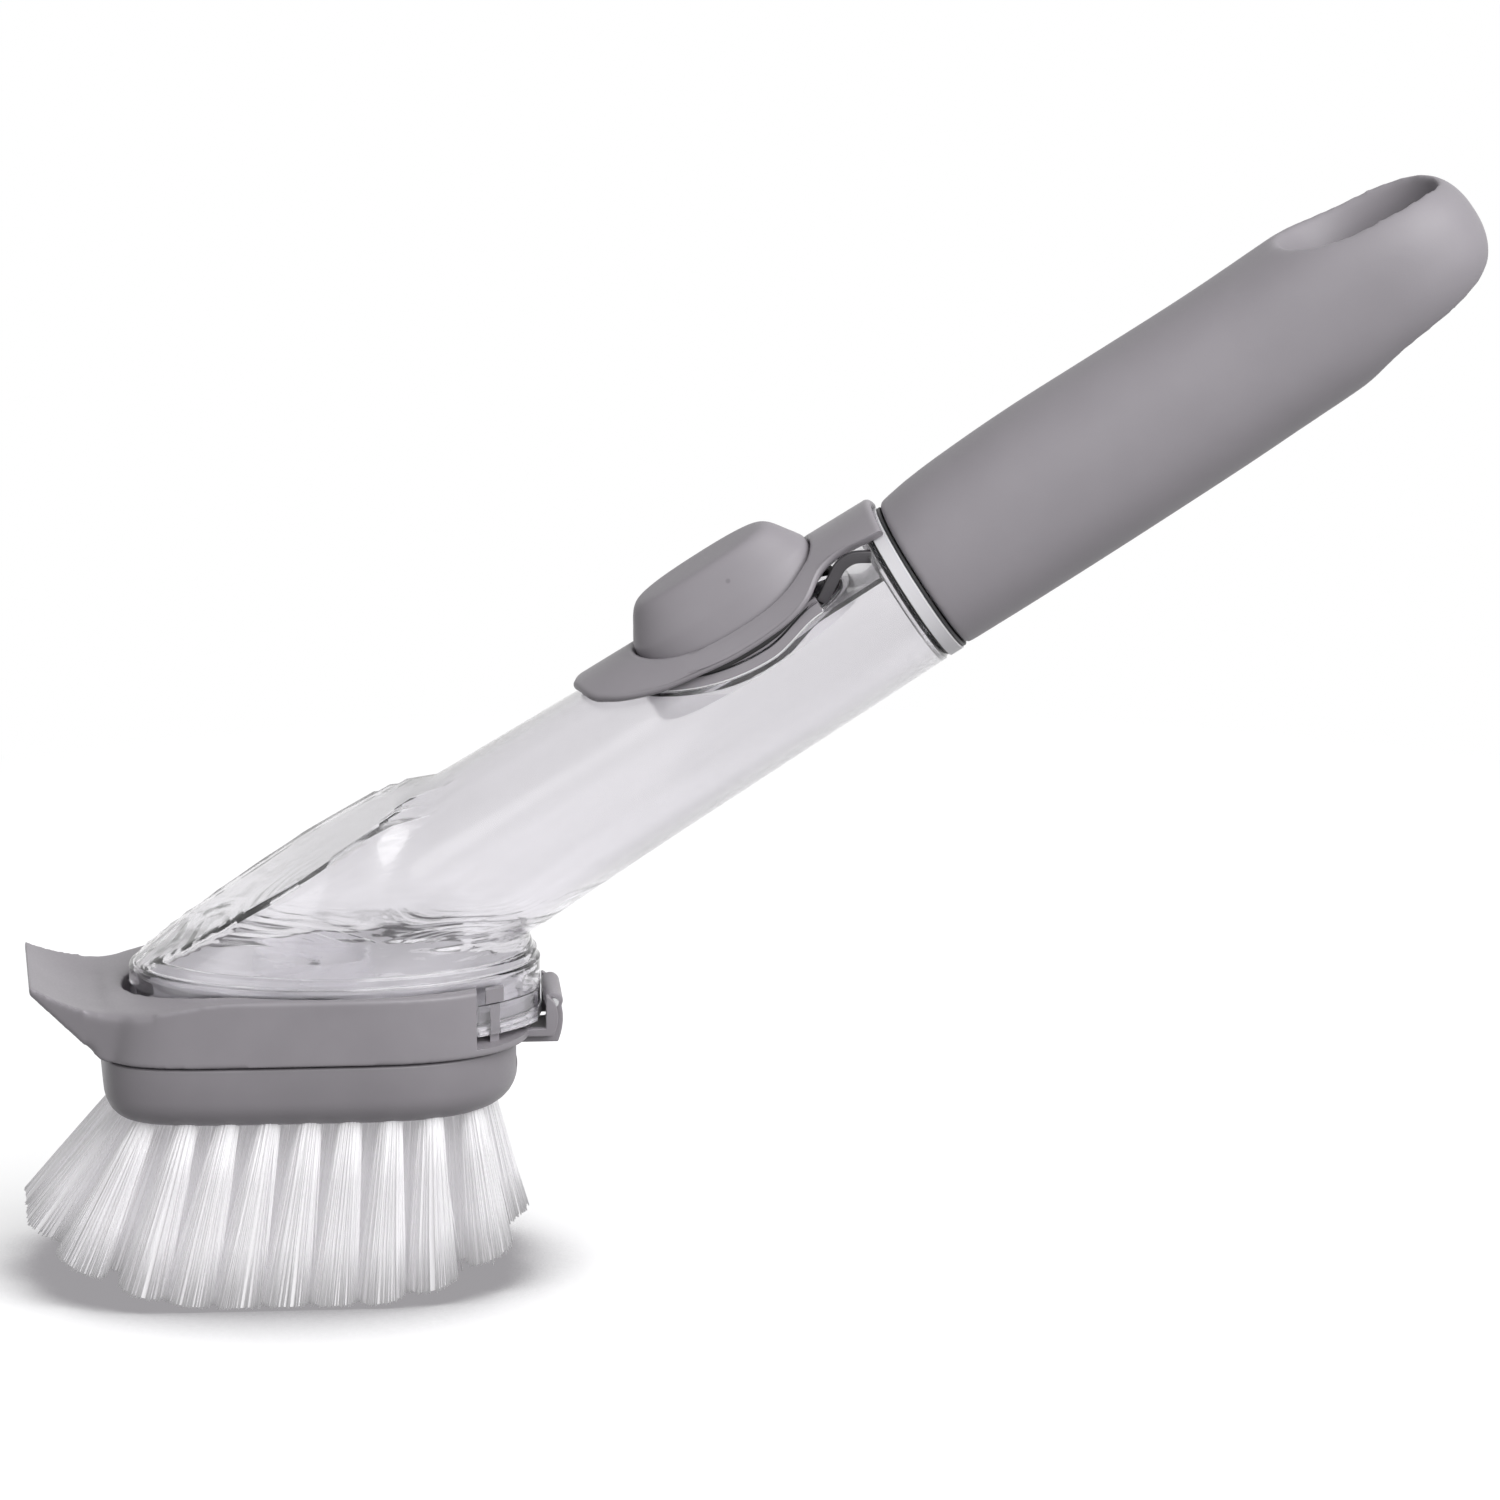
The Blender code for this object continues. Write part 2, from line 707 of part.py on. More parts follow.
def make_frame(head_frame, grey):
    top_outline = frame_outline(frame_draft)
    rings = [at_height(frame_outline(), frame_base), at_height(top_outline, rim_height)]
    rings += [at_height(shrink(top_outline, share), rim_height) for share in rim_inner_shares]
    frame = place("scraper_frame", loft("scraper_frame", rings), head_frame, grey)

    lip = loft("scraper_lip", [lip_section(i / lip_steps) for i in range(lip_steps + 1)])
    cut(frame, cutter("scraper_lip", lip, head_frame), "UNION")

    pocket = oval(foot_centre - pocket_toe_gap / 2, foot_half_length + fit_gap + pocket_toe_gap / 2,
                  foot_half_width + fit_gap)
    cut(frame, cutter("foot_pocket", flat_form("foot_pocket", pocket, frame_floor_top,
                                               foot_top + cut_overrun), head_frame))
    opening = oval(0, opening_half_length, opening_half_width, bend=opening_power)
    cut(frame, cutter("floor_opening", flat_form("floor_opening", opening, frame_base - cut_overrun,
                                                 frame_floor_top + cut_overrun), head_frame))

    window = cutter("heel_window", box("heel_window", (window_start, -2 * frame_half_width, frame_floor_top),
                                       (2 * frame_heel, 2 * frame_half_width, frame_rim + cut_overrun)),
                    head_frame)
    wall_outline = foot_outline(-fit_gap - snap_wall)
    wall = flat_form("snap_wall", wall_outline, frame_base, snap_wall_top)
    cut(window, cutter("snap_wall", wall, head_frame))
    hook = box("snap_hooks", (snap_hook_start, -snap_hook_reach, frame_base),
               (snap_hook_start + snap_hook_length, snap_hook_reach, snap_hook_top))
    cut(window, cutter("snap_hooks", hook, head_frame))
    cut(frame, window)

    for side in (-1, 1):
        inner = side * (latch_half_width + fit_gap)
        outer = side * (latch_half_width + fit_gap + ear_thickness)
        ear = flat_form("latch_ear", ear_outline(), min(inner, outer), max(inner, outer), "XZ")
        cut(frame, cutter("latch_ear", ear, head_frame), "UNION")
    reach = latch_half_width + 2 * ear_thickness
    bore = rod("ear_bore", latch_pin_radius + fit_gap, (latch_pin_x, -reach, latch_pin_z),
               (latch_pin_x, reach, latch_pin_z))
    cut(frame, cutter("ear_bore", bore, head_frame))

    span_share = lip_pocket_end_share - lip_pocket_start_share
    shares = [lip_pocket_start_share + span_share * i / lip_pocket_steps for i in range(lip_pocket_steps + 1)]
    hollow = loft("lip_pocket", [lip_section(share, lip_wall) for share in shares])
    cut(frame, cutter("lip_pocket", hollow, head_frame))


def curved_face(face, root, top, bottom):
    """The bulging outer face of the latch or its ears, from the top down."""
    return [(root + (face - root) * reach, top + (bottom - top) * drop)
            for reach, drop in zip(latch_reach_shares, latch_height_shares)]


def ear_outline():
    root = foot_heel + ear_inner_gap
    arm_start = frame_heel - 2 * ear_thickness
    face = curved_face(ear_face, root, ear_top, frame_base)
    arm = [(arm_start, frame_base), (arm_start, frame_floor_top), (root, frame_floor_top)]
    return face + arm + [(root, ear_top)]


def make_latch(head_frame, grey, steel):
    root = foot_heel + ear_inner_gap
    face = curved_face(latch_face, root + latch_wall / 2, latch_top, latch_bottom)
    nose = block_heel - nose_slot_depth + fit_gap + latch_nose_bite
    inner = [(x - latch_wall, z) for x, z in reversed(face[1:-1])]
    lip = latch_bottom + latch_lip_height
    outline = face + [(nose, latch_bottom), (nose, lip), (face[-1][0] - latch_wall, lip)] + inner
    tab = flat_form("release_latch", outline, -latch_half_width, latch_half_width, "XZ")
    latch = place("release_latch", tab, head_frame, grey, (latch_pin_x, 0, latch_pin_z))
    knuckle = rod("latch_knuckle", latch_knuckle_radius, (latch_pin_x, -latch_half_width, latch_pin_z),
                  (latch_pin_x, latch_half_width, latch_pin_z))
    cut(latch, cutter("latch_knuckle", knuckle, head_frame), "UNION")
    reach = latch_half_width + cut_overrun
    bore = rod("latch_bore", latch_pin_radius + fit_gap, (latch_pin_x, -reach, latch_pin_z),
               (latch_pin_x, reach, latch_pin_z))
    cut(latch, cutter("latch_bore", bore, head_frame))
    pin_reach = latch_half_width + fit_gap + ear_thickness
    pin = rod("latch_pin", latch_pin_radius, (latch_pin_x, -pin_reach, latch_pin_z),
              (latch_pin_x, pin_reach, latch_pin_z))
    place("latch_pin", pin, head_frame, steel)


# Refill

def block_outline(inset=0.0):
    return rounded_outline(block_toe - inset, block_heel - inset, frame_middle, block_half_width - inset,
                           frame_toe_power, frame_heel_power)


def block_inset(height):
    """How far the rounded bottom edge has drawn in at a height."""
    below = max(0.0, block_base + block_round - height)
    return block_round - math.sqrt(max(0.0, block_round ** 2 - below ** 2))


def make_block(head_frame, grey):
    heights = [slice_top + fit_gap, slice_top + (block_base + block_round - slice_top) / 2,
               block_base + block_round, block_top]
    rings = [at_height(block_outline(block_inset(height)), height) for height in heights]
    block = place("refill_block", loft("refill_block", rings), head_frame, grey)
    length = opening_half_length - fit_gap
    width = opening_half_width - fit_gap
    low, high = block_top - block_rib_height, block_top + block_rib_height
    outer = oval(0, length, width, bend=opening_power)
    inner = oval(0, length - block_rib_width, width - block_rib_width, bend=opening_power)
    rib = loft("block_rib", [at_height(outer, low), at_height(outer, high),
                             at_height(inner, high), at_height(inner, low)], closed=True)
    cut(block, cutter("block_rib", rib, head_frame), "UNION")
    below, above = block_base - cut_overrun, block_top + cut_overrun
    hole = rod("soap_hole", soap_hole_radius, (0, 0, below), (0, 0, above))
    cut(block, cutter("soap_hole", hole, head_frame))
    slot = box("nose_slot", (block_heel - nose_slot_depth, -latch_half_width - fit_gap,
                             latch_bottom - nose_slot_height),
               (block_heel + cut_overrun, latch_half_width + fit_gap, block_top + cut_overrun))
    cut(block, cutter("nose_slot", slot, head_frame))


def tuft_half_width(x):
    """Half the width that tufts fill at a place along the block."""
    heel_side = x > frame_middle
    reach = block_heel - frame_middle if heel_side else block_toe + frame_middle
    bend = frame_heel_power if heel_side else frame_toe_power
    share = min(1.0, abs(x - frame_middle) / (reach - tuft_border))
    return (block_half_width - tuft_border) * (1 - share ** bend) ** (1 / bend)


def tuft_places():
    """Base points of the tufts, in five rows that draw in with the block's ends."""
    rows = [(-1, tufts_outer_row, tuft_first_outer), (-inner_row_share, tufts_inner_row, tuft_first_inner),
            (0, tufts_outer_row, tuft_first_outer), (inner_row_share, tufts_inner_row, tuft_first_inner),
            (1, tufts_outer_row, tuft_first_outer)]
    places = []
    for share, count, first in rows:
        for i in range(count):
            x = i * tuft_pitch - first
            y = share * tuft_half_width(x)
            over_hole = share == 0 and abs(x) < soap_hole_radius + 2 * tuft_base_radius
            crowded = share != 0 and abs(y) < tuft_least_row
            if not over_hole and not crowded:
                places.append((x, y))
    return places


def strand_tip(base_x, base_y, spread_x, spread_y):
    """Follow a tuft's lean down to the trimmed tips."""
    lean = bristle_lean - bristle_lean_per_pitch * base_x / tuft_pitch
    side_share = abs(base_y) / (block_half_width - tuft_border)
    toe_share = max(0.0, -toe_lean_start - base_x) / toe_lean_reach
    lean += toe_lean_more * toe_share ** toe_lean_power * (1 - toe_lean_side_share * side_share)
    drop = block_base
    for _ in range(trim_tries):
        x = base_x - drop * math.tan(lean) + spread_x
        height = trim_height(x)
        drop = block_base - height
    y = base_y + base_y * bristle_spread_share * drop / block_base + spread_y
    return x, y, height


def trim_height(x):
    reach = abs(x + trim_centre) / trim_reach
    return max(0.0, trim_rise * reach ** trim_power - bristle_flat)


def add_strand(bm, base, tip, turn_angle):
    root = (*base, block_base + slice_thickness * strand_root_share)
    rings = []
    for x, y, z in (root, tip):
        ring = []
        for k in range(strand_sides):
            angle = turn_angle + 2 * math.pi * k / strand_sides
            ring.append(bm.verts.new((x + strand_radius * math.cos(angle),
                                      y + strand_radius * math.sin(angle), z)))
        rings.append(ring)
    top, low = rings
    bm.faces.new(top)
    bm.faces.new(low)
    for k in range(strand_sides):
        j = (k + 1) % strand_sides
        bm.faces.new((top[k], top[j], low[j], low[k]))


def make_bristles(head_frame, nylon):
    names = ["bristles_toe", "bristles_mid_toe", "bristles_mid_heel", "bristles_heel"]
    between = (tuft_pitch - (tuft_first_inner - tuft_first_outer)) / 2
    cuts = [column * tuft_pitch - tuft_first_outer + between for column in bristle_cut_columns]
    spans = list(zip([-2 * block_toe] + cuts, cuts + [2 * block_heel]))
    heights = [block_base, (block_base + slice_top) / 2, slice_top]
    rings = [at_height(block_outline(block_inset(height)), height) for height in heights]
    tufts = tuft_places()
    for name, (low, high) in zip(names, spans):
        backing = place(name, loft(name, rings), head_frame, nylon)
        keep = box(name + "_keep", (low + fit_gap / 2, -2 * block_half_width, 0),
                   (high - fit_gap / 2, 2 * block_half_width, frame_base))
        cut(backing, cutter(name + "_keep", keep, head_frame), "INTERSECT")
        if low < soap_hole_radius and high > -soap_hole_radius:
            hole = rod(name + "_hole", soap_hole_radius, (0, 0, block_base - cut_overrun),
                       (0, 0, slice_top + cut_overrun))
            cut(backing, cutter(name + "_hole", hole, head_frame))
        bm = bmesh.new()
        for tuft_x, tuft_y in tufts:
            if not low <= tuft_x < high:
                continue
            add_strand(bm, (tuft_x, tuft_y), strand_tip(tuft_x, tuft_y, 0, 0), 0)
            for n in range(strands_round_tuft):
                angle = 2 * math.pi * n / strands_round_tuft
                c, s = math.cos(angle), math.sin(angle)
                base = (tuft_x + tuft_base_radius * c, tuft_y + tuft_base_radius * s)
                grow = tuft_tip_radius - tuft_base_radius
                tip = strand_tip(base[0], base[1], grow * c, grow * s)
                add_strand(bm, base, tip, angle)
        strands = cutter(name + "_strands", mesh_from(bm, name + "_strands"), head_frame)
        cut(backing, strands, "UNION")


# Pump and its plate

def dome_outline(length_share=1.0, width_share=1.0, inset=0.0, grow=0.0):
    return oval(-dome_middle, dome_half_length * length_share - inset + grow,
                dome_half_width * width_share - inset + grow, bend=dome_power)


def make_dome(tube_frame, rubber):
    outer = []
    for rise, length, width in zip(dome_height_shares, dome_length_shares, dome_width_shares):
        outer.append(at_height(dome_outline(length, width), dome_skirt + dome_height * rise))
    inner = []
    shares = list(zip(dome_height_shares, dome_length_shares, dome_width_shares))
    for rise, length, width in shares[:dome_hollow_rings]:
        height = dome_skirt + (dome_height - dome_wall) * rise
        inner.append(at_height(dome_outline(length, width, inset=dome_wall), height))
    rings = list(reversed(inner)) + outer
    place("button_dome", loft("button_dome", rings), tube_frame, rubber, (-dome_middle, 0, dome_skirt))


def make_pump(tube_frame, grey, rubber):
    floor = recess_floor + fit_gap
    middle = floor + tray_floor / 2
    base = place("pump_base", flat_form("pump_base", pocket_outline(-tray_inset), floor, floor + tray_floor),
                 tube_frame, grey)
    pad = flat_form("tray_pad", dome_outline(inset=dome_wall + fit_gap), middle, floor + tray_pad)
    cut(base, cutter("tray_pad", pad, tube_frame), "UNION")
    rim_outer, rim_inner = pocket_outline(-tray_inset), pocket_outline(-tray_inset - tray_rim_width)
    rim_top = floor + tray_rim_height
    rim = loft("tray_rim", [at_height(rim_outer, middle), at_height(rim_outer, rim_top),
                            at_height(rim_inner, rim_top), at_height(rim_inner, middle)], closed=True)
    cut(base, cutter("tray_rim", rim, tube_frame), "UNION")
    hole = rod("pump_base_hole", valve_stem_radius + fit_gap, (-dome_middle, 0, 0),
               (-dome_middle, 0, floor + tray_pad + cut_overrun))
    cut(base, cutter("pump_base_hole", hole, tube_frame))

    inner = dome_outline(grow=fit_gap)
    outer = dome_outline(grow=fit_gap + pump_seal_width)
    low = floor + tray_floor + fit_gap
    high = low + pump_seal_height
    seal = loft("pump_seal", [at_height(outer, low), at_height(outer, high),
                              at_height(inner, high), at_height(inner, low)], closed=True)
    place("pump_seal", seal, tube_frame, rubber)

    cap = floor + tray_pad + fit_gap
    stem_end = recess_floor - tube_wall - fit_gap
    profile = [(cap + pump_valve_thickness, 0), (cap + pump_valve_thickness / 2, pump_valve_radius),
               (cap, pump_valve_radius), (cap, valve_stem_radius), (stem_end, valve_stem_radius),
               (stem_end, 0)]
    valve = turned("pump_valve", profile, tube_frame, rubber, small_steps, "Z")
    valve.location = (-dome_middle, 0, 0)


def strut_outline(plate_under):
    """The curved strut seen from the side, from the neck flat up into the plate."""
    base = neck_flat + fit_gap
    rise = plate_under + plate_strut_bite - base
    outer = [(-plate_strut_top - (plate_strut_foot - plate_strut_top) * along, base + rise * up)
             for along, up in zip(strut_place_shares, strut_height_shares)]
    inner = [(x + plate_strut_thickness, z) for x, z in reversed(outer)]
    return outer + inner


def make_plate(tube_frame, grey):
    under_near = tube_neck_radius + fit_gap
    slope = (tube_middle_radius - tube_neck_radius) / (tube_middle_reach - tube_neck_end)
    far = plate_far + cut_overrun
    under_far = tube_neck_radius + slope * far + fit_gap
    profile = [(-plate_near, under_near), (-plate_near, under_near + plate_thickness),
               (-far, under_far + plate_thickness), (-far, under_far)]
    plate = turned("button_plate", profile, tube_frame, grey)
    length = plate_far - plate_near
    outline = [(-plate_near - length * along, plate_half_width * wide)
               for along, wide in zip(plate_length_shares, plate_width_shares)]
    outline += [(x, -y) for x, y in reversed(outline[:-1])]
    reach = under_far + plate_thickness + cut_overrun
    form = cutter("plate_form", flat_form("plate_form", outline, 0, reach), tube_frame)
    cut(plate, form, "INTERSECT")
    half_width = plate_strut_half_width
    strut = flat_form("plate_strut", strut_outline(under_near), -half_width, half_width, "XZ")
    cut(plate, cutter("plate_strut", strut, tube_frame), "UNION")
    hole = flat_form("button_hole", dome_outline(grow=fit_gap), 0, reach)
    cut(plate, cutter("button_hole", hole, tube_frame))


# Handle

def grip_size(place):
    """Top, bottom and half width of the handle at a distance from its mouth."""
    share = place / grip_length
    top = grip_height * read_shares(grip_place_shares, grip_top_shares, share)
    bottom = -grip_height * read_shares(grip_place_shares, grip_bottom_shares, share)
    width = grip_half_width * read_shares(grip_place_shares, grip_width_shares, share)
    if share > grip_end_start_share:
        u = min(1.0, (share - grip_end_start_share) / (1 - grip_end_start_share))
        fall = (1 - u ** grip_end_power) ** (1 / grip_end_power)
        middle = (top + bottom) / 2
        top = middle + (top - middle) * fall
        bottom = middle + (bottom - middle) * fall
        width *= fall
    return top, bottom, width


def grip_ring(place, inset=0.0):
    top, bottom, width = grip_size(place)
    middle, half = (top + bottom) / 2, (top - bottom) / 2 - inset
    ring = []
    for i in range(grip_points):
        angle = 2 * math.pi * (i + 0.5) / grip_points
        ring.append((place, (width - inset) * power(math.cos(angle), 2 / grip_section_power),
                     middle + half * power(math.sin(angle), 2 / grip_section_power)))
    return ring


def grip_places():
    """Even steps along the grip, closer together where its end rounds off."""
    start = grip_length * grip_end_start_share
    step = (start - grip_edge) / grip_straight_steps
    places = [grip_edge + step * i for i in range(grip_straight_steps + 1)]
    for i in range(1, grip_end_steps + 1):
        turn_share = grip_end_turn_share * i / grip_end_steps
        places.append(start + (grip_length - start) * math.sin(math.pi / 2 * turn_share))
    return places


def hole_ring(height, half_length, half_width):
    return [(x, y, height) for x, y in oval(hole_middle, half_length, half_width, grip_points, hole_power)]


def make_handle(tube_frame, soft_grey, grey, rubber):
    rings = [grip_ring(0, grip_edge)] + [grip_ring(place) for place in grip_places()]
    grip = place("handle_grip", loft("handle_grip", rings), tube_frame, soft_grey)
    around = core_radius + fit_gap
    nose = core_length + fit_gap
    bore = turned_cutter("grip_bore", [(nose, 0), (nose, core_nose_radius + fit_gap),
                                       (nose - core_nose_length, around), (-cut_overrun, around),
                                       (-cut_overrun, 0)], tube_frame)
    cut(grip, bore)

    top, bottom, _ = grip_size(hole_middle)
    levels = []
    for i in range(hole_lip_steps + 1):
        u = i / hole_lip_steps
        flare = 1 - math.sqrt(1 - (u * hole_lip_turn_share) ** 2)
        levels.append((u * hole_lip_height, flare))
    rings = [hole_ring(bottom - cut_overrun, hole_half_length + hole_lip, hole_half_width + hole_lip_side)]
    for rise, flare in reversed(levels):
        rings.append(hole_ring(bottom + hole_lip_height - rise, hole_half_length + hole_lip * flare,
                               hole_half_width + hole_lip_side * flare))
    for rise, flare in levels:
        rings.append(hole_ring(top - hole_lip_height + rise, hole_half_length + hole_lip * flare,
                               hole_half_width + hole_lip_side * flare))
    rings.append(hole_ring(top + cut_overrun, hole_half_length + hole_lip, hole_half_width + hole_lip_side))
    cut(grip, cutter("hanging_hole", loft("hanging_hole", rings), tube_frame))

    core = [(core_length, 0), (core_length, core_nose_radius), (core_length - core_nose_length, core_radius),
            (fit_gap, core_radius), (fit_gap, socket_radius), (core_socket_depth, socket_radius),
            (core_socket_depth, core_bore_radius), (core_bore_depth, core_bore_radius), (core_bore_depth, 0)]
    turned("handle_core", core, tube_frame, grey)

    ring_end = -ring_start + ring_thickness
    turned("neck_ring", [(ring_end, socket_radius), (ring_end, tube_neck_radius),
                         (-ring_start, tube_neck_radius), (-ring_start, socket_radius)], tube_frame, grey)
    seal_start = ring_end + fit_gap
    seal_end = seal_start + seal_ring_thickness
    turned("neck_seal", [(seal_end, socket_radius), (seal_end, seal_ring_radius),
                         (seal_start, seal_ring_radius), (seal_start, socket_radius)], tube_frame, rubber)


def centre_on_base(root):
    """Put the world origin under the middle of the whole brush, on its lowest point."""
    bpy.context.view_layer.update()
    depsgraph = bpy.context.evaluated_depsgraph_get()
    low, high = Vector((math.inf,) * 3), Vector((-math.inf,) * 3)
    for obj in collection.objects:
        if obj.type != "MESH":
            continue
        shape = obj.evaluated_get(depsgraph)
        for vertex in shape.data.vertices:
            point = shape.matrix_world @ vertex.co
            low = Vector(map(min, low, point))
            high = Vector(map(max, high, point))
    root.location = (-(low.x + high.x) / 2, -(low.y + high.y) / 2, -low.z)


def main():
    clear_scene()
    clear = plastic("clear_plastic", (0.86, 0.85, 0.88), 0.06, 0.9, 0.35)
    frosted = plastic("frosted_plastic", (0.82, 0.81, 0.84), 0.5)
    silicone = plastic("pale_silicone", (0.78, 0.77, 0.80), 0.55)
    grey = plastic("grey_plastic", (0.32, 0.30, 0.33), 0.38)
    soft_grey = plastic("soft_grey", (0.31, 0.295, 0.32), 0.62)
    dome_grey = plastic("dome_silicone", (0.30, 0.285, 0.31), 0.55)
    rubber = plastic("black_rubber", (0.03, 0.03, 0.032), 0.6)
    nylon = plastic("white_nylon", (0.86, 0.84, 0.88), 0.4)
    steel = plastic("pin_steel", (0.55, 0.55, 0.57), 0.3)

    root = frame_empty("brush", (0, 0, 0))
    head_frame = frame_empty("head_frame", (0, 0, 0), root)
    tube_frame = frame_empty("tube_frame", collar, head_frame, axis_slope)
    bpy.context.view_layer.update()

    make_tube(tube_frame, head_frame, clear)
    make_foot(head_frame, tube_frame, clear)
    make_sole(head_frame, frosted, silicone)
    make_frame(head_frame, grey)
    make_latch(head_frame, grey, steel)
    make_block(head_frame, grey)
    make_bristles(head_frame, nylon)
    make_plate(tube_frame, grey)
    make_pump(tube_frame, grey, rubber)
    make_dome(tube_frame, dome_grey)
    make_handle(tube_frame, soft_grey, grey, rubber)
    centre_on_base(root)


main()
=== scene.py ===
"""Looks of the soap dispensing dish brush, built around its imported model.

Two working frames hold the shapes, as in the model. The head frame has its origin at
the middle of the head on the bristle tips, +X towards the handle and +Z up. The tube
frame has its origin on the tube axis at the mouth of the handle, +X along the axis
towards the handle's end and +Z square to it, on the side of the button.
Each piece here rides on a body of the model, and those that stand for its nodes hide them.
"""
import json
import math
import random

import bmesh
import bpy
from mathutils import Matrix, Vector, noise


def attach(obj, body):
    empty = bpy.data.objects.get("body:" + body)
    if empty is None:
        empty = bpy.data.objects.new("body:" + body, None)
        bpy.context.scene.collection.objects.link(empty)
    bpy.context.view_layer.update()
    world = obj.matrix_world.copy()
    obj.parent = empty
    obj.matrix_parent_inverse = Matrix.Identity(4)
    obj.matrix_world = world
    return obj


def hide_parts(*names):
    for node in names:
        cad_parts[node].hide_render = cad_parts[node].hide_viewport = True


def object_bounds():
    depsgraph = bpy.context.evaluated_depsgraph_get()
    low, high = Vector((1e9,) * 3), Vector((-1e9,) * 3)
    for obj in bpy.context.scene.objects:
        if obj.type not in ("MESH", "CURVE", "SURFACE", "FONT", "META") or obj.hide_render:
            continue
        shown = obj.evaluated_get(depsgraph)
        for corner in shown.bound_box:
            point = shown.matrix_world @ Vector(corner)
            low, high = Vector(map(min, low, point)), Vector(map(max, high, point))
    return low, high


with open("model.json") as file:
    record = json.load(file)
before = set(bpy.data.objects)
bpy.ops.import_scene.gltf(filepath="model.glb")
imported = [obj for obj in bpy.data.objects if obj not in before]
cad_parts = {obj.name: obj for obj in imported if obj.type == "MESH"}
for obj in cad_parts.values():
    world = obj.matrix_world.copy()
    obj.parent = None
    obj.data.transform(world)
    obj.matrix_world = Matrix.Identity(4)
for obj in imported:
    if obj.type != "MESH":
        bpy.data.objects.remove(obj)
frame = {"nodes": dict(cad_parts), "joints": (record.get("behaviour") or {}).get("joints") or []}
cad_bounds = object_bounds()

dice = random.Random(7)

# Photograph: its frame, the size of a pixel at the brush and where the camera stood
photo_pixels = 1500
pixel_size = 0.000158
camera_azimuth = math.radians(4.0)
camera_elevation = math.radians(17.0)
camera_distance = 2.6
sensor_width = 36.0
view_centre = Vector((-0.0003, 0.0, 0.0836))
gate_mark_pixel = (728, 581)
gate_mark_radius = 0.0005

# Shared clearances, and a number to divide by in place of zero
fit_gap = 0.0003
overrun = 0.004
tiny = 1e-9

# Reservoir tube
axis_height = 0.0502
collar_distance = 0.1148
tube_wall = 0.0010
tube_neck_radius = 0.0130
tube_middle_radius = 0.0138
tube_foot_radius = 0.0153
tube_neck_end = 0.0034
tube_middle_reach = 0.0550
tube_foot_reach = 0.1100
spigot_radius = 0.0096
spigot_wall = 0.0014
spigot_length = 0.0095
pocket_floor = 0.0052
pocket_base_low = 0.0050
pocket_base_place = 0.0260
pocket_toe_rise = 0.0040
pocket_toe_run = 0.0170
pocket_neck_run = 0.0100
pocket_toe_end = 0.0545
well_gap = 0.0014
neck_flat = 0.0067
neck_flat_near = 0.0050
neck_edge = 0.0006

# Reservoir foot, with the shoulder that climbs the tube's sides
foot_toe = 0.0290
foot_heel = 0.0360
foot_half_width = 0.0180
foot_base = 0.0431
shoulder_toe_height = 0.0503
shoulder_heel_height = 0.0520
shoulder_toe_rise = 0.0072
shoulder_high_rise = 0.0128
shoulder_rise_start = 0.0200
shoulder_rise_run = 0.0350
shoulder_fall = 0.0038
shoulder_fall_start = 0.0220
shoulder_fall_run = 0.0080
shoulder_draw_share = 0.155
shoulder_draw_power = 1.5
shoulder_end_share = 0.5
shoulder_blend = 0.0008
shoulder_top = 0.0672
upright_end = 0.0480
toe_clip = 0.0003
toe_widen = 3.0
wave_depth = 0.00040
wave_top = 0.0680
wave_scale = 80
wave_scale_up = 380
fine_wave_scale = 190
fine_wave_scale_up = 1100
fine_wave_share = 0.40
ledge_depth = 0.00028
ledge_rise = 0.00035
level_crowd_low = 0.0490
level_crowd_high = 0.0660
tube_end_place = 0.1238
tube_end_step = 0.00015

# Raised floor on the sole plate
sole_top = 0.0428
cup_top = 0.0495
cup_wall = 0.0008
cup_inset = 0.0038
cup_rim_inset = 0.0023
cup_flare = 0.0022
cup_hole_radius = 0.0012
collar_radius = 0.0094
collar_wall = 0.0008
collar_top = 0.0519

# Scraper frame round the foot
frame_toe = 0.0340
frame_heel = 0.0345
frame_half_width = 0.0205
frame_middle = 0.0060
frame_base = 0.0390
frame_rim = 0.0497
frame_draft = 0.0005
frame_floor = 0.0013
frame_toe_power = 6.0
frame_heel_power = 2.6
rim_dip = 0.0027
rim_dip_start = 0.0130
rim_dip_length = 0.0200
opening_half_length = 0.0220
opening_half_width = 0.0105
opening_power = 2.4
pocket_toe_gap = 0.0010
window_start = 0.0250
snap_hook_start = 0.0266
snap_hook_length = 0.0029
snap_hook_head = 0.0013
snap_hook_stem = 0.0005
snap_hook_margin = 0.0007
snap_hook_bottom = 0.0470
snap_hook_top = 0.0492

# Clear skirt of the foot in the frame's window
skirt_start = 0.0254
skirt_end = 0.0352
skirt_near = 0.0010
skirt_far = 0.0015
skirt_bottom = 0.0417
skirt_ledge = 0.0007
skirt_top = 0.0467

# Scraper lip
lip_root = 0.0312
lip_edge = 0.0453
lip_root_half_width = 0.0166
lip_edge_half_width = 0.0122
lip_root_top = 0.0470
lip_edge_top = 0.0507
lip_edge_thickness = 0.0014
lip_hollow = 0.0011
lip_hollow_start_share = 0.25
lip_hollow_power = 1.5
lip_root_clear = 1.12
lip_root_bottom = 0.0392

# Release latch
latch_pin_x = 0.0378
latch_pin_z = 0.0444
latch_pin_radius = 0.00075
latch_knuckle_radius = 0.0015
latch_half_width = 0.0054
latch_wall = 0.0016
latch_face = 0.0393
latch_bottom = 0.0376
latch_lip_height = 0.0011
latch_top = 0.0459
latch_nose_reach = 0.0318
ear_thickness = 0.0014
ear_face = 0.0384
ear_top = 0.0456
ear_edge = 0.0003
ear_inner_gap = 0.0005

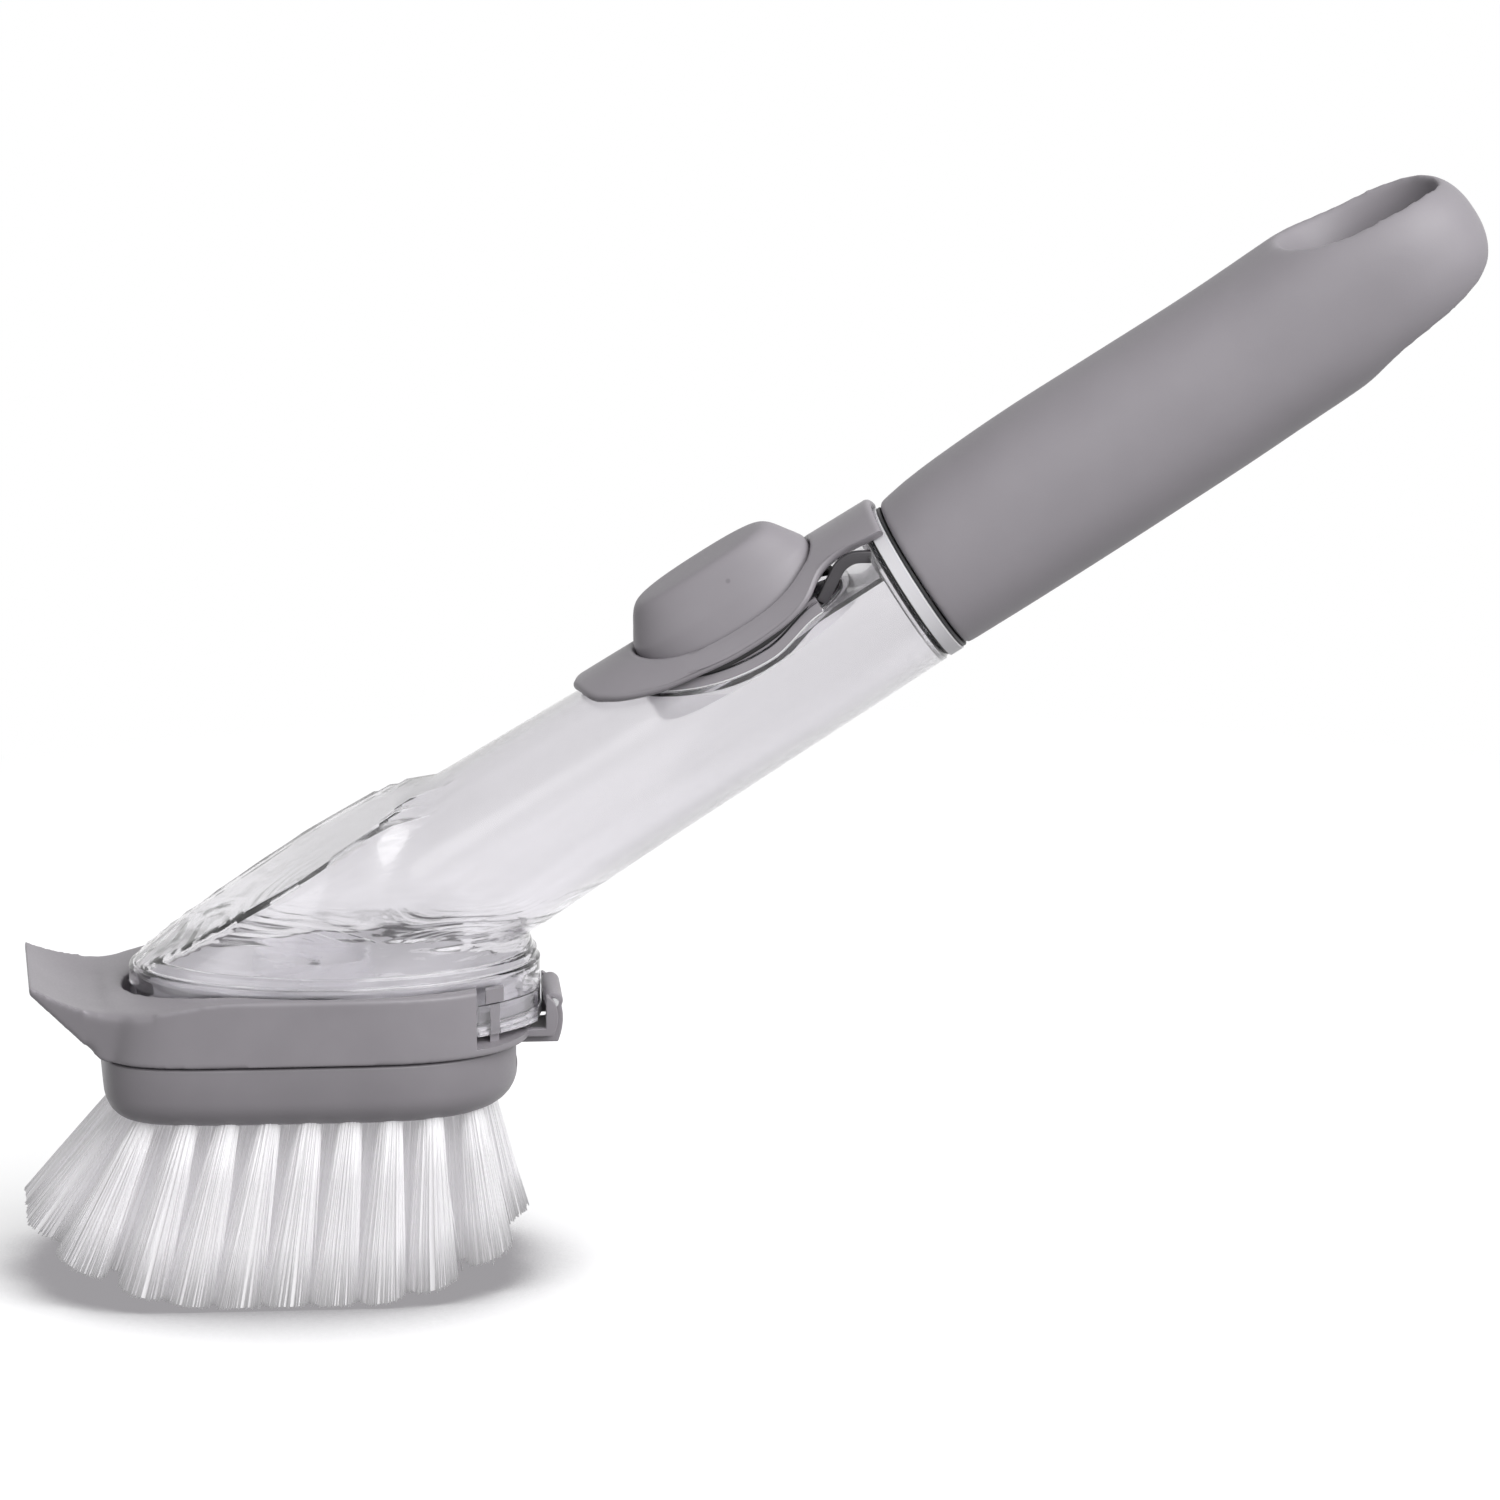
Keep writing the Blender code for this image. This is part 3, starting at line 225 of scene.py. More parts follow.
# Refill block
block_toe = 0.0337
block_heel = 0.0322
block_half_width = 0.0200
block_thickness = 0.0105
block_round = 0.0050
block_top_edge = 0.0004
block_rib_height = 0.0014
block_rib_width = 0.0016
soap_hole_radius = 0.0024
nose_slot_depth = 0.0011
nose_slot_bottom = 0.0335

# Bristles
tuft_pitch = 0.0064
tuft_border = 0.0041
tuft_least_row = 0.0038
tufts_outer_row = 9
tufts_inner_row = 10
tuft_first_outer = 0.0270
tuft_first_inner = 0.0292
inner_row_share = 0.48
tuft_keep_from_hole = 0.0050
filament_root = 0.0010
filament_radius = 0.00015
filaments_in_tuft = 150
filament_steps = 3
filament_sides = 3
core_sides = 14
tuft_base_radius = 0.0018
tuft_tip_radius = 0.0039
tip_scatter = 0.00022
trim_scatter = 0.00035
filament_bow = 0.00016
stray_share = 0.02
core_share = 0.90
core_tip_lift = 0.0003
inner_filament_share = 0.3
rim_filament_start = 0.89
stray_scatter = 0.0012
bristle_flat = 0.0005
bristle_spread_share = 0.25
bristle_lean = math.radians(8.5)
bristle_lean_per_pitch = math.radians(2.43)
toe_lean_start = 0.0200
toe_lean_reach = 0.0092
toe_lean_more = math.radians(20.5)
toe_lean_side_share = 0.6
toe_spread_more = 0.45
heel_lean_start = 0.0140
heel_lean_reach = 0.0110
heel_lean_more = math.radians(7.0)
heel_tuft_step = 0.0022
lean_power = 1.5
strand_turn = 0.2
trim_centre = 0.0050
trim_reach = 0.0420
trim_rise = 0.0112
trim_power = 2.6

# Neck ring and seal
ring_start = 0.0031
ring_end = 0.0008
gasket_inset = 0.0003
seal_ring_start = 0.0007
seal_ring_end = 0.0002
seal_ring_radius = 0.0128
ring_edge = 0.0001

# Dome and plate
dome_middle = 0.0285
dome_half_length = 0.0160
dome_half_width = 0.0095
dome_power = 2.5
dome_skirt = 0.0099
dome_crown = 0.0217
dome_wall = 0.0013
plate_thickness = 0.0017
plate_near = 0.0010
plate_far = 0.0560
plate_half_width = 0.0127
plate_edge = 0.0008
strap_thickness = 0.0019
strap_inner = 0.0072
strap_outer = 0.0084
strap_edge = 0.0002

# Tray and seal under the plate
tray_skin_gap = 0.0003
liner_gap = 0.00005
liner_thickness = 0.0002
liner_far = 0.0480
tray_near = 0.0155
tray_far = 0.0455
tray_layer = 0.0013
tray_groove = 0.00035
tray_groove_depth = 0.0006
tray_upper = 0.0004
tray_floor = 0.0005
tray_pad = 0.0012
seal_low = 0.0070
seal_width = 0.0008
seal_height = 0.0016
valve_stem_radius = 0.0013

# Handle
grip_length = 0.1041
grip_height = 0.0130
grip_half_width = 0.0130
grip_end_start_share = 0.826
grip_end_power = 2.5
grip_section_power = 2.15
grip_square_power = 0.45
grip_square_start = 0.0600
grip_square_run = 0.0200
grip_edge = 0.0004
grip_edge_share = 0.3
grip_last_ring_share = 0.995
core_radius = 0.0115
core_length = 0.0660
core_nose_radius = 0.0070
core_nose_length = 0.0080
hole_middle = 0.0892
hole_half_length = 0.0118
hole_half_width = 0.0078
hole_power = 2.2
hole_lip = 0.0022
hole_lip_side = 0.0024
hole_lip_height = 0.0080
hole_lip_power = 1.6

# Colours, and how the plastics are finished: a grain is its features per metre and its depth
grey_colour = (0.335, 0.315, 0.342)
# Painted glow of the nylon bristles and their cores: an emitted light of their own, standing in for light
# carried through translucent nylon
nylon_painted_glow_colour = (0.97, 0.96, 0.975)
nylon_painted_glow_strength = 0.20
cloud_scale = 90.0
roughness_spread = 0.05
grain_strength = 0.35
plastic_grain = (2600.0, 0.00002)
polished_grain = (2600.0, 0.000002)
smooth_grain = (2600.0, 0.00001)
rubber_grain = (3000.0, 0.00002)
grip_grain = (3400.0, 0.00003)
steel_grain = (4000.0, 0.00001)
nylon_grain = (5000.0, 0.00001)
clear_depth_colour = (0.58, 0.55, 0.60)
clear_depth_density = 40.0
foot_clear_top = 0.060
haze_start = 0.069
band_scale = 105.0
band_stretch = 20
streak_scale = 420.0
streak_stretch = 30
ripple_scale = 75.0
ripple_stretch = 2.5
ripple_count = 16.0
ripple_depth = 0.00012

# Stage: the white studio, the floor with a painted shadow where the brush stands near it, and two lamps
world_strength = 0.24
floor_colour = (0.55, 0.55, 0.56)
floor_lift = 0.72
# Painted shadow on the floor near the brush: its colour, the reach of the occlusion and the levels it fades
# between
floor_painted_shadow_colour = (0.34, 0.33, 0.345)
painted_shadow_reach = 0.055
painted_shadow_dark = 0.53
painted_shadow_light = 0.84
floor_bounce = 0.12
floor_size = 6.0
fade_start = 0.16
fade_end = 0.30
key_place = (0.75, -0.85, 1.00)
key_size = 1.6
key_power = 25.0
fill_place = (-0.8, -0.8, 0.5)
fill_size = 0.8
fill_power = 1.5

# How finely the shapes are drawn
outline_points = 96
round_points = 144
crowd_levels = 130
grip_voxel = 0.00045
frame_voxel = 0.00033
frame_share_kept = 0.35
grip_share_kept = 0.30

# Angles in degrees past which an edge is shaded as a crease
crisp_angle = 35.0
soft_angle = 40.0
softer_angle = 50.0
softest_angle = 60.0

# Levels of the small ledges round the foot
ledge_heights = [0.0506, 0.0521]

# The button plate's outline: places along the plate and half widths, near end first
plate_length_shares = [0.0, 0.06, 0.11, 0.16, 0.21, 0.27, 0.34, 0.43, 0.55, 0.68, 0.78, 0.87, 0.93, 0.97, 1.0]
plate_width_shares = [0.70, 0.63, 0.61, 0.62, 0.69, 0.87, 0.96, 0.995, 1.0, 0.96, 0.91, 0.80, 0.66, 0.47, 0.0]

# Rings inside the frame's rim, which let its top follow the dip at the toe
rim_inner_shares = [0.9, 0.6, 0.3]

# The dome's rings above its skirt: heights, lengths and widths
dome_height_shares = [0.0, 0.46, 0.56, 0.70, 0.84, 0.94, 0.985, 1.0]
dome_length_shares = [1.0, 1.0, 0.965, 0.90, 0.835, 0.77, 0.70, 0.60]
dome_width_shares = [1.0, 0.86, 0.81, 0.72, 0.63, 0.56, 0.50, 0.42]

# The dome's flat crown, drawn in from its top ring, and where its smoothing starts
crown_length_share = 0.60
crown_width_share = 0.22
crown_ring_shares = [0.8, 0.5, 0.2]
dome_smooth_share = 0.3

# The strap under the plate's neck, from the tray to the ring: shares of its way, places and heights
strap_shares = [0.0, 0.25, 0.50, 0.75, 1.0]
strap_places = [0.0151, 0.0117, 0.0094, 0.0070, 0.0046]
strap_heights = [0.0075, 0.0096, 0.0108, 0.0108, 0.0094]

# The handle's side view and plan: places along it, top, bottom and half width
grip_place_shares = [0.0, 0.05, 0.12, 0.24, 0.38, 0.53, 0.68, 0.78, 0.86, 1.0]
grip_top_shares = [1.01, 1.08, 1.13, 1.17, 1.17, 1.17, 1.19, 1.19, 1.15, 1.10]
grip_bottom_shares = [0.97, 0.975, 0.98, 0.98, 0.97, 0.95, 0.90, 0.84, 0.80, 0.74]
grip_width_shares = [0.985, 1.0, 1.01, 1.02, 1.02, 1.01, 1.0, 0.99, 0.975, 0.94]

# The latch's and the ear's faces, from the top down: heights and places
latch_height_shares = [0.0, 0.12, 0.30, 0.52, 0.76, 1.0]
latch_reach_shares = [0.20, 0.62, 0.90, 1.0, 0.90, 0.62]

# The two working frames, placed by the model's own joints
twist = next(joint for joint in frame["joints"] if joint["name"] == "handle_twist")
axis = Vector(twist["axis"]).normalized()
collar = Vector(twist["pos_m"])
axis_slope = math.asin(axis.z)
normal = Vector((-axis.z, 0, axis.x))
tube_frame = Matrix((axis, (0, 1, 0), normal)).transposed().to_4x4()
tube_frame.translation = collar
head_shift = collar.x - collar_distance * math.cos(axis_slope)
head_frame = Matrix.Translation((head_shift, 0, 0))

# Working sizes that follow from the ones above
foot_centre = (foot_heel - foot_toe) / 2
foot_half_length = (foot_heel + foot_toe) / 2
frame_floor_top = frame_base + frame_floor
block_top = frame_base - fit_gap
block_base = block_top - block_thickness
socket_radius = spigot_radius + fit_gap
dome_height = dome_crown - dome_skirt


# Shape helpers

def power(value, exponent):
    return math.copysign(abs(value) ** exponent, value)


def smooth_step(value):
    value = min(max(value, 0.0), 1.0)
    return value * value * (3 - 2 * value)


def mix(first, second, share):
    return first + (second - first) * share


def spread(start, end, count):
    """Even places from start to end, both included."""
    return [mix(start, end, i / (count - 1)) for i in range(count)]


def half_step_angles(count):
    """Even angles round a circle, set off by half a step."""
    return [2 * math.pi * (i + 0.5) / count for i in range(count)]


def rounding(radius, steps):
    """How far a rounded edge draws in and lifts, from its upright side to its flat one."""
    return [(radius * (1 - math.sin(turn)), radius * (1 - math.cos(turn)))
            for turn in spread(0, math.pi / 2, steps)]


def read_shares(places, values, place):
    """Follow a list of shares smoothly with a Catmull-Rom curve."""
    for i in range(len(places) - 1):
        if place <= places[i + 1] or i == len(places) - 2:
            break
    before, after = max(i - 1, 0), min(i + 2, len(places) - 1)
    span = places[i + 1] - places[i]
    u = (place - places[i]) / span
    slope_a = (values[i + 1] - values[before]) / (places[i + 1] - places[before]) * span
    slope_b = (values[after] - values[i]) / (places[after] - places[i]) * span
    u2, u3 = u * u, u * u * u
    return ((2 * u3 - 3 * u2 + 1) * values[i] + (u3 - 2 * u2 + u) * slope_a
            + (3 * u2 - 2 * u3) * values[i + 1] + (u3 - u2) * slope_b)


def oval(centre, half_length, half_width, count=outline_points, bend=2.0):
    points = []
    for angle in half_step_angles(count):
        points.append((centre + half_length * power(math.cos(angle), 2 / bend),
                       half_width * power(math.sin(angle), 2 / bend)))
    return points


def rounded_outline(toe, heel, half_width, count=outline_points):
    """The plan outline of the frame and the block, blunt at the toe and round at the heel."""
    points = []
    for angle in half_step_angles(count):
        c, s = math.cos(angle), math.sin(angle)
        if c > 0:
            reach, bend = heel - frame_middle, frame_heel_power
        else:
            reach, bend = toe + frame_middle, frame_toe_power
        points.append((frame_middle + reach * power(c, 2 / bend), half_width * power(s, 2 / bend)))
    return points


def at_height(outline, height):
    """Lift an outline to a level, or to a height that depends on the place along X."""
    if callable(height):
        return [(x, y, height(x)) for x, y in outline]
    return [(x, y, height) for x, y in outline]


def skin(rings, closed=False):
    """A bmesh over rings of equal point counts, capped at both ends or closed on itself."""
    bm = bmesh.new()
    loops = [[bm.verts.new(point) for point in ring] for ring in rings]
    pairs = list(zip(loops, loops[1:]))
    if closed:
        pairs.append((loops[-1], loops[0]))
    for low, high in pairs:
        for i in range(len(low)):
            j = (i + 1) % len(low)
            bm.faces.new((low[i], low[j], high[j], high[i]))
    if not closed:
        bm.faces.new(loops[0])
        bm.faces.new(loops[-1])
    bmesh.ops.recalc_face_normals(bm, faces=bm.faces)
    return bm


def stack(levels, closed=False):
    """A solid over (outline, height) pairs, capped at both ends or closed on itself."""
    return skin([at_height(outline, height) for outline, height in levels], closed)


def prism(outline, low, high, upright="XY"):
    """An outline made solid between two levels, lying flat or standing across the brush."""
    if upright == "XZ":
        return skin([[(x, level, z) for x, z in outline] for level in (low, high)])
    return stack([(outline, low), (outline, high)])


def box(low, high):
    corners = [(low[0], low[1]), (high[0], low[1]), (high[0], high[1]), (low[0], high[1])]
    return prism(corners, low[2], high[2])


def turned(profile, steps=round_points, closed=True):
    """Rings round the X axis, one for each (along, radius) point."""
    rings = []
    for along, radius in profile:
        rings.append([(along, radius * math.cos(angle), radius * math.sin(angle))
                      for angle in (2 * math.pi * i / steps for i in range(steps))])
    return skin(rings, closed)


def rod(radius, start, end, steps=32):
    start, end = Vector(start), Vector(end)
    along = end - start
    bm = bmesh.new()
    bmesh.ops.create_cone(bm, cap_ends=True, segments=steps, radius1=radius, radius2=radius,
                          depth=along.length)
    turn = along.to_track_quat("Z", "Y").to_matrix().to_4x4()
    bmesh.ops.transform(bm, matrix=Matrix.Translation((start + end) / 2) @ turn, verts=bm.verts)
    return bm


def show(obj):
    bpy.context.scene.collection.objects.link(obj)


def as_object(bm, name):
    mesh = bpy.data.meshes.new(name)
    bm.to_mesh(mesh)
    bm.free()
    obj = bpy.data.objects.new(name, mesh)
    show(obj)
    return obj


def apply_modifiers(obj):
    bpy.context.view_layer.update()
    shape = obj.evaluated_get(bpy.context.evaluated_depsgraph_get())
    mesh = bpy.data.meshes.new_from_object(shape)
    old = obj.data
    obj.modifiers.clear()
    obj.data = mesh
    bpy.data.meshes.remove(old)


def combine(obj, bm, operation="DIFFERENCE"):
    """Cut a solid out of a piece, or join it on, and keep only the piece."""
    other = as_object(bm, "guide")
    modifier = obj.modifiers.new("combine", "BOOLEAN")
    modifier.operation = operation
    modifier.solver = "EXACT"
    modifier.object = other
    apply_modifiers(obj)
    bpy.data.objects.remove(other, do_unlink=True)


def join(obj, other, operation="UNION"):
    """Join a second piece on, or cut it away, and keep only the first."""
    bm = bmesh.new()
    bm.from_mesh(other.data)
    bpy.data.objects.remove(other, do_unlink=True)
    combine(obj, bm, operation)


def thin_out(obj, share):
    modifier = obj.modifiers.new("thin_out", "DECIMATE")
    modifier.ratio = share
    apply_modifiers(obj)


def remesh(obj, voxel):
    modifier = obj.modifiers.new("remesh", "REMESH")
    modifier.mode = "VOXEL"
    modifier.voxel_size = voxel
    apply_modifiers(obj)


def relax(obj, times, where=None):
    """Smooth a mesh a few times, all of it or where a test of the point says."""
    bm = bmesh.new()
    bm.from_mesh(obj.data)
    verts = [v for v in bm.verts if where is None or where(v.co)]
    for _ in range(times):
        bmesh.ops.smooth_vert(bm, verts=verts, factor=0.5, use_axis_x=True, use_axis_y=True, use_axis_z=True)
    bm.to_mesh(obj.data)
    bm.free()


def soften_edges(obj, width, segments=3, angle=crisp_angle):
    modifier = obj.modifiers.new("edges", "BEVEL")
    modifier.width = width
    modifier.segments = segments
    modifier.limit_method = "ANGLE"
    modifier.angle_limit = math.radians(angle)
    modifier.use_clamp_overlap = True
    modifier.harden_normals = False
    apply_modifiers(obj)


def dress(obj, place, body, material, nodes=(), sharp=crisp_angle):
    """Set a piece in place in its frame, finish it and let it ride on its body."""
    obj.data.transform(place)
    obj.data.materials.clear()
    obj.data.materials.append(material)
    obj.data.shade_smooth()
    if sharp:
        obj.data.set_sharp_from_angle(angle=math.radians(sharp))
    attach(obj, body)
    if nodes:
        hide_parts(*nodes)


def camera_axes():
    """Right, up and backward directions of the camera."""
    sin_a, cos_a = math.sin(camera_azimuth), math.cos(camera_azimuth)
    sin_e, cos_e = math.sin(camera_elevation), math.cos(camera_elevation)
    backward = Vector((-sin_a * cos_e, -cos_a * cos_e, sin_e))
    right = Vector((cos_a, -sin_a, 0))
    return right, backward.cross(right), backward


# Materials

def new_material(name):
    material = bpy.data.materials.new(name)
    material.use_nodes = True
    return material, material.node_tree, shader_of(material)


def shader_of(material):
    return material.node_tree.nodes["Principled BSDF"]


def add_noise(tree, scale, detail=2.0, stretch=(1, 1, 1), turn=0.0):
    """Noise in the object's own coordinates, in features per metre, stretched along a turned frame."""
    coordinates = tree.nodes.new("ShaderNodeTexCoord")
    mapping = tree.nodes.new("ShaderNodeMapping")
    mapping.vector_type = "TEXTURE"
    mapping.inputs["Rotation"].default_value = (0, -turn, 0)
    mapping.inputs["Scale"].default_value = stretch
    texture = tree.nodes.new("ShaderNodeTexNoise")
    texture.inputs["Scale"].default_value = scale
    texture.inputs["Detail"].default_value = detail
    tree.links.new(coordinates.outputs["Object"], mapping.inputs["Vector"])
    tree.links.new(mapping.outputs["Vector"], texture.inputs["Vector"])
    return texture.outputs["Fac"]


def add_range(tree, value, low, high, start=0.3, end=0.7):
    node = tree.nodes.new("ShaderNodeMapRange")
    node.inputs["From Min"].default_value = start
    node.inputs["From Max"].default_value = end
    node.inputs["To Min"].default_value = low
    node.inputs["To Max"].default_value = high
    tree.links.new(value, node.inputs["Value"])
    return node.outputs["Result"]


def add_blend(tree, factor, first, second):
    node = tree.nodes.new("ShaderNodeMix")
    node.data_type = "RGBA"
    tree.links.new(factor, node.inputs["Factor"])
    for key, value in (("A", first), ("B", second)):
        socket = next(s for s in node.inputs if s.name == key and s.type == "RGBA")
        if isinstance(value, tuple):
            socket.default_value = (*value, 1.0)
        else:
            tree.links.new(value, socket)
    return next(s for s in node.outputs if s.type == "RGBA")


def add_math(tree, operation, first, second):
    node = tree.nodes.new("ShaderNodeMath")
    node.operation = operation
    for socket, value in zip(node.inputs, (first, second)):
        if isinstance(value, float):
            socket.default_value = value
        else:
            tree.links.new(value, socket)
    return node.outputs[0]


def add_bump(tree, shader, height, strength, depth):
    bump = tree.nodes.new("ShaderNodeBump")
    bump.inputs["Strength"].default_value = strength
    bump.inputs["Distance"].default_value = depth
    tree.links.new(height, bump.inputs["Height"])
    tree.links.new(bump.outputs["Normal"], shader.inputs["Normal"])


def tint(colour, share):
    return tuple(min(1.0, channel * share) for channel in colour)


def moulded(name, colour, roughness, finish, mottle=0.05):
    """Moulded plastic or rubber: a faint cloud in its colour, and a fine spark-eroded grain."""
    material, tree, shader = new_material(name)
    cloud = add_range(tree, add_noise(tree, cloud_scale, 3.0), 0.0, 1.0)
    clouded = add_blend(tree, cloud, tint(colour, 1 - mottle), tint(colour, 1 + mottle))
    tree.links.new(clouded, shader.inputs["Base Color"])
    grain_scale, grain_depth = finish
    grain = add_noise(tree, grain_scale)
    rough = add_range(tree, grain, roughness - roughness_spread, roughness + roughness_spread)
    tree.links.new(rough, shader.inputs["Roughness"])
    add_bump(tree, shader, grain, grain_strength, grain_depth)
    return material


def clear_moulded(name, colour, turn, haze, foot_haze):
    """Clear plastic with soft bands along the tube, a little haze and a clearer foot."""
    material, tree, shader = new_material(name)
    bands = add_noise(tree, band_scale, 1.0, (band_stretch, 1, 1), turn)
    bands = add_range(tree, bands, 0.0, 1.0, 0.35, 0.65)
    streaks = add_noise(tree, streak_scale, 2.0, (streak_stretch, 1, 1), turn)
    broad = add_blend(tree, bands, tint(colour, 0.90), tint(colour, 1.05))
    fine = add_blend(tree, add_range(tree, streaks, 0.0, 1.0), (0.96, 0.96, 0.96), (1.0, 1.0, 1.0))
    product = tree.nodes.new("ShaderNodeVectorMath")
    product.operation = "MULTIPLY"
    tree.links.new(broad, product.inputs[0])
    tree.links.new(fine, product.inputs[1])
    tree.links.new(product.outputs["Vector"], shader.inputs["Base Color"])
    coordinates = tree.nodes.new("ShaderNodeTexCoord")
    parts = tree.nodes.new("ShaderNodeSeparateXYZ")
    tree.links.new(coordinates.outputs["Object"], parts.inputs[0])
    tree.links.new(add_range(tree, parts.outputs["Z"], foot_haze, haze, foot_clear_top, haze_start),
                   shader.inputs["Roughness"])
    folds = add_noise(tree, ripple_scale, 1.0, (ripple_stretch, ripple_stretch, 1))
    folds = add_math(tree, "PINGPONG", add_math(tree, "MULTIPLY", folds, ripple_count), 0.5)
    low = add_range(tree, parts.outputs["Z"], 1.0, 0.0, foot_clear_top, haze_start)
    add_bump(tree, shader, add_math(tree, "MULTIPLY", folds, low), 1.0, ripple_depth)
    shader.inputs["Transmission Weight"].default_value = 1.0
    shader.inputs["IOR"].default_value = 1.46
    shader.inputs["Coat Weight"].default_value = 0.6
    shader.inputs["Coat Roughness"].default_value = 0.04
    depth = tree.nodes.new("ShaderNodeVolumeAbsorption")
    depth.inputs["Color"].default_value = (*clear_depth_colour, 1.0)
    depth.inputs["Density"].default_value = clear_depth_density
    tree.links.new(depth.outputs["Volume"], tree.nodes["Material Output"].inputs["Volume"])
    return material


grey_plastic = moulded("grey plastic", tint(grey_colour, 0.93), 0.40, plastic_grain)
block_plastic = moulded("refill plastic", tint(grey_colour, 0.78), 0.45, plastic_grain)
soft_grip = moulded("soft grip", tint(grey_colour, 0.97), 0.52, grip_grain, 0.03)
dome_silicone = moulded("dome silicone", tint(grey_colour, 0.97), 0.50, rubber_grain, 0.03)
black_rubber = moulded("black rubber", (0.022, 0.021, 0.023), 0.5, rubber_grain)
pin_steel = moulded("pin steel", (0.55, 0.55, 0.56), 0.28, steel_grain)
shader_of(pin_steel).inputs["Metallic"].default_value = 1.0
frosted_plastic = moulded("frosted plastic", (0.82, 0.81, 0.84), 0.5, plastic_grain, 0.03)
pale_silicone = moulded("pale silicone", (0.78, 0.77, 0.80), 0.5, rubber_grain, 0.03)
white_nylon_painted_glow = moulded("white nylon painted glow", (0.79, 0.78, 0.80), 0.40, nylon_grain, 0.01)
pale_liner = moulded("pale liner", (0.93, 0.92, 0.94), 0.5, smooth_grain, 0.01)
white_core_painted_glow = moulded("white core painted glow", (0.76, 0.75, 0.765), 0.60, nylon_grain, 0.01)
# Painted glow: both nylon materials emit a faint light, in place of the light that translucent nylon would
# carry
for material in (white_nylon_painted_glow, white_core_painted_glow):
    shader_of(material).inputs["Emission Color"].default_value = (*nylon_painted_glow_colour, 1.0)
    shader_of(material).inputs["Emission Strength"].default_value = nylon_painted_glow_strength
clear_plastic = clear_moulded("clear plastic", (0.91, 0.90, 0.92), axis_slope, 0.22, 0.08)
ring_plastic = moulded("ring plastic", (0.78, 0.77, 0.80), 0.40, polished_grain, 0.01)
# Painted shade: the struts under the plate's neck are coloured near-black for the shadow beneath the plate
strap_painted_shade = moulded("strap painted shade", (0.060, 0.056, 0.062), 0.45, rubber_grain)


# Clear reservoir, one wall from the spigot down to the foot

def tube_radius(behind):
    """Outer radius at a distance behind the mouth of the handle."""
    if behind < tube_middle_reach:
        share = (behind - tube_neck_end) / (tube_middle_reach - tube_neck_end)
        return mix(tube_neck_radius, tube_middle_radius, max(0.0, share))
    share = (behind - tube_middle_reach) / (tube_foot_reach - tube_middle_reach)
    radius = mix(tube_middle_radius, tube_foot_radius, min(1.0, share))
    return radius + tube_end_step * smooth_step((behind - tube_end_place) / tube_end_step)


def oval_distance(x, y, shrink):
    """How far a point lies outside the foot's oval, drawn in by a share."""
    long_half, wide_half = foot_half_length * shrink, foot_half_width * shrink
    u, v = (x - foot_centre) / long_half, y / wide_half
    reach = math.hypot(u, v)
    return (reach - 1) * reach / max(math.hypot(u / long_half, v / wide_half), tiny)


def wall_distance(x, y, z):
    """How far a point of the head frame lies outside the reservoir's outer form."""
    rise = z - axis_height
    along = x * math.cos(axis_slope) + rise * math.sin(axis_slope)
    off = rise * math.cos(axis_slope) - x * math.sin(axis_slope)
    tube = math.hypot(y, off) - tube_radius(collar_distance - along)
    tube = max(tube, oval_distance(x, y, 1.0) - toe_widen * max(0.0, z - shoulder_toe_height))

    edge = mix(shoulder_toe_height, shoulder_heel_height, smooth_step((x + foot_toe / 2) / foot_half_length))
    climb = mix(shoulder_toe_rise, shoulder_high_rise,
                smooth_step((x + shoulder_rise_start) / shoulder_rise_run))
    climb -= shoulder_fall * smooth_step((x - shoulder_fall_start) / shoulder_fall_run)
    above = max(0.0, z - edge) / climb
    shrink = 1 - shoulder_draw_share * above ** shoulder_draw_power
    ledges = sum(smooth_step((z - level) / ledge_rise) for level in ledge_heights)
    shrink -= ledge_depth / foot_half_width * ledges
    if shrink < shoulder_end_share:
        return tube
    foot = max(oval_distance(x, y, shrink), off - tube_foot_radius - toe_clip)
    near = max(shoulder_blend - abs(tube - foot), 0.0) / shoulder_blend
    return min(tube, foot) - near * near * shoulder_blend / 4


def ring_plan():
    """Centres and upward directions of the section planes, from the plate's end down to the foot."""
    top_along = (shoulder_top - axis_height) / math.sin(axis_slope)
    last = collar_distance - top_along
    plan = []
    for behind in spread(upright_end, last, 26):
        lean = smooth_step((behind - upright_end) / (last - upright_end)) * (math.pi / 2 - axis_slope)
        along = collar_distance - behind
        centre = Vector((along * math.cos(axis_slope), 0, axis_height + along * math.sin(axis_slope)))
        direction = Vector((-math.sin(axis_slope + lean), 0, math.cos(axis_slope + lean)))
        plan.append((centre, direction))
    heights = spread(shoulder_top, level_crowd_high, 4)[1:]
    heights += spread(level_crowd_high, level_crowd_low, crowd_levels)[1:]
    heights += spread(level_crowd_low, foot_base, 14)[1:]
    for height in heights:
        on_axis = (height - axis_height) / math.tan(axis_slope)
        share = smooth_step((shoulder_top - height) / (shoulder_top - axis_height))
        plan.append((Vector((mix(on_axis, foot_centre, share), 0, height)), Vector((-1, 0, 0))))
    return plan


def foot_wave(point):
    """Ripples of the inner wall where the foot was moulded, mostly level, fading up the tube."""
    fade = smooth_step((wave_top - point.z) / (wave_top - shoulder_toe_height))
    if fade <= 0:
        return 0.0
    broad, fine = [noise.noise(Vector((point.x * level, point.y * level, point.z * up)))
                   for level, up in ((wave_scale, wave_scale_up), (fine_wave_scale, fine_wave_scale_up))]
    return wave_depth * fade * (broad + fine_wave_share * fine)


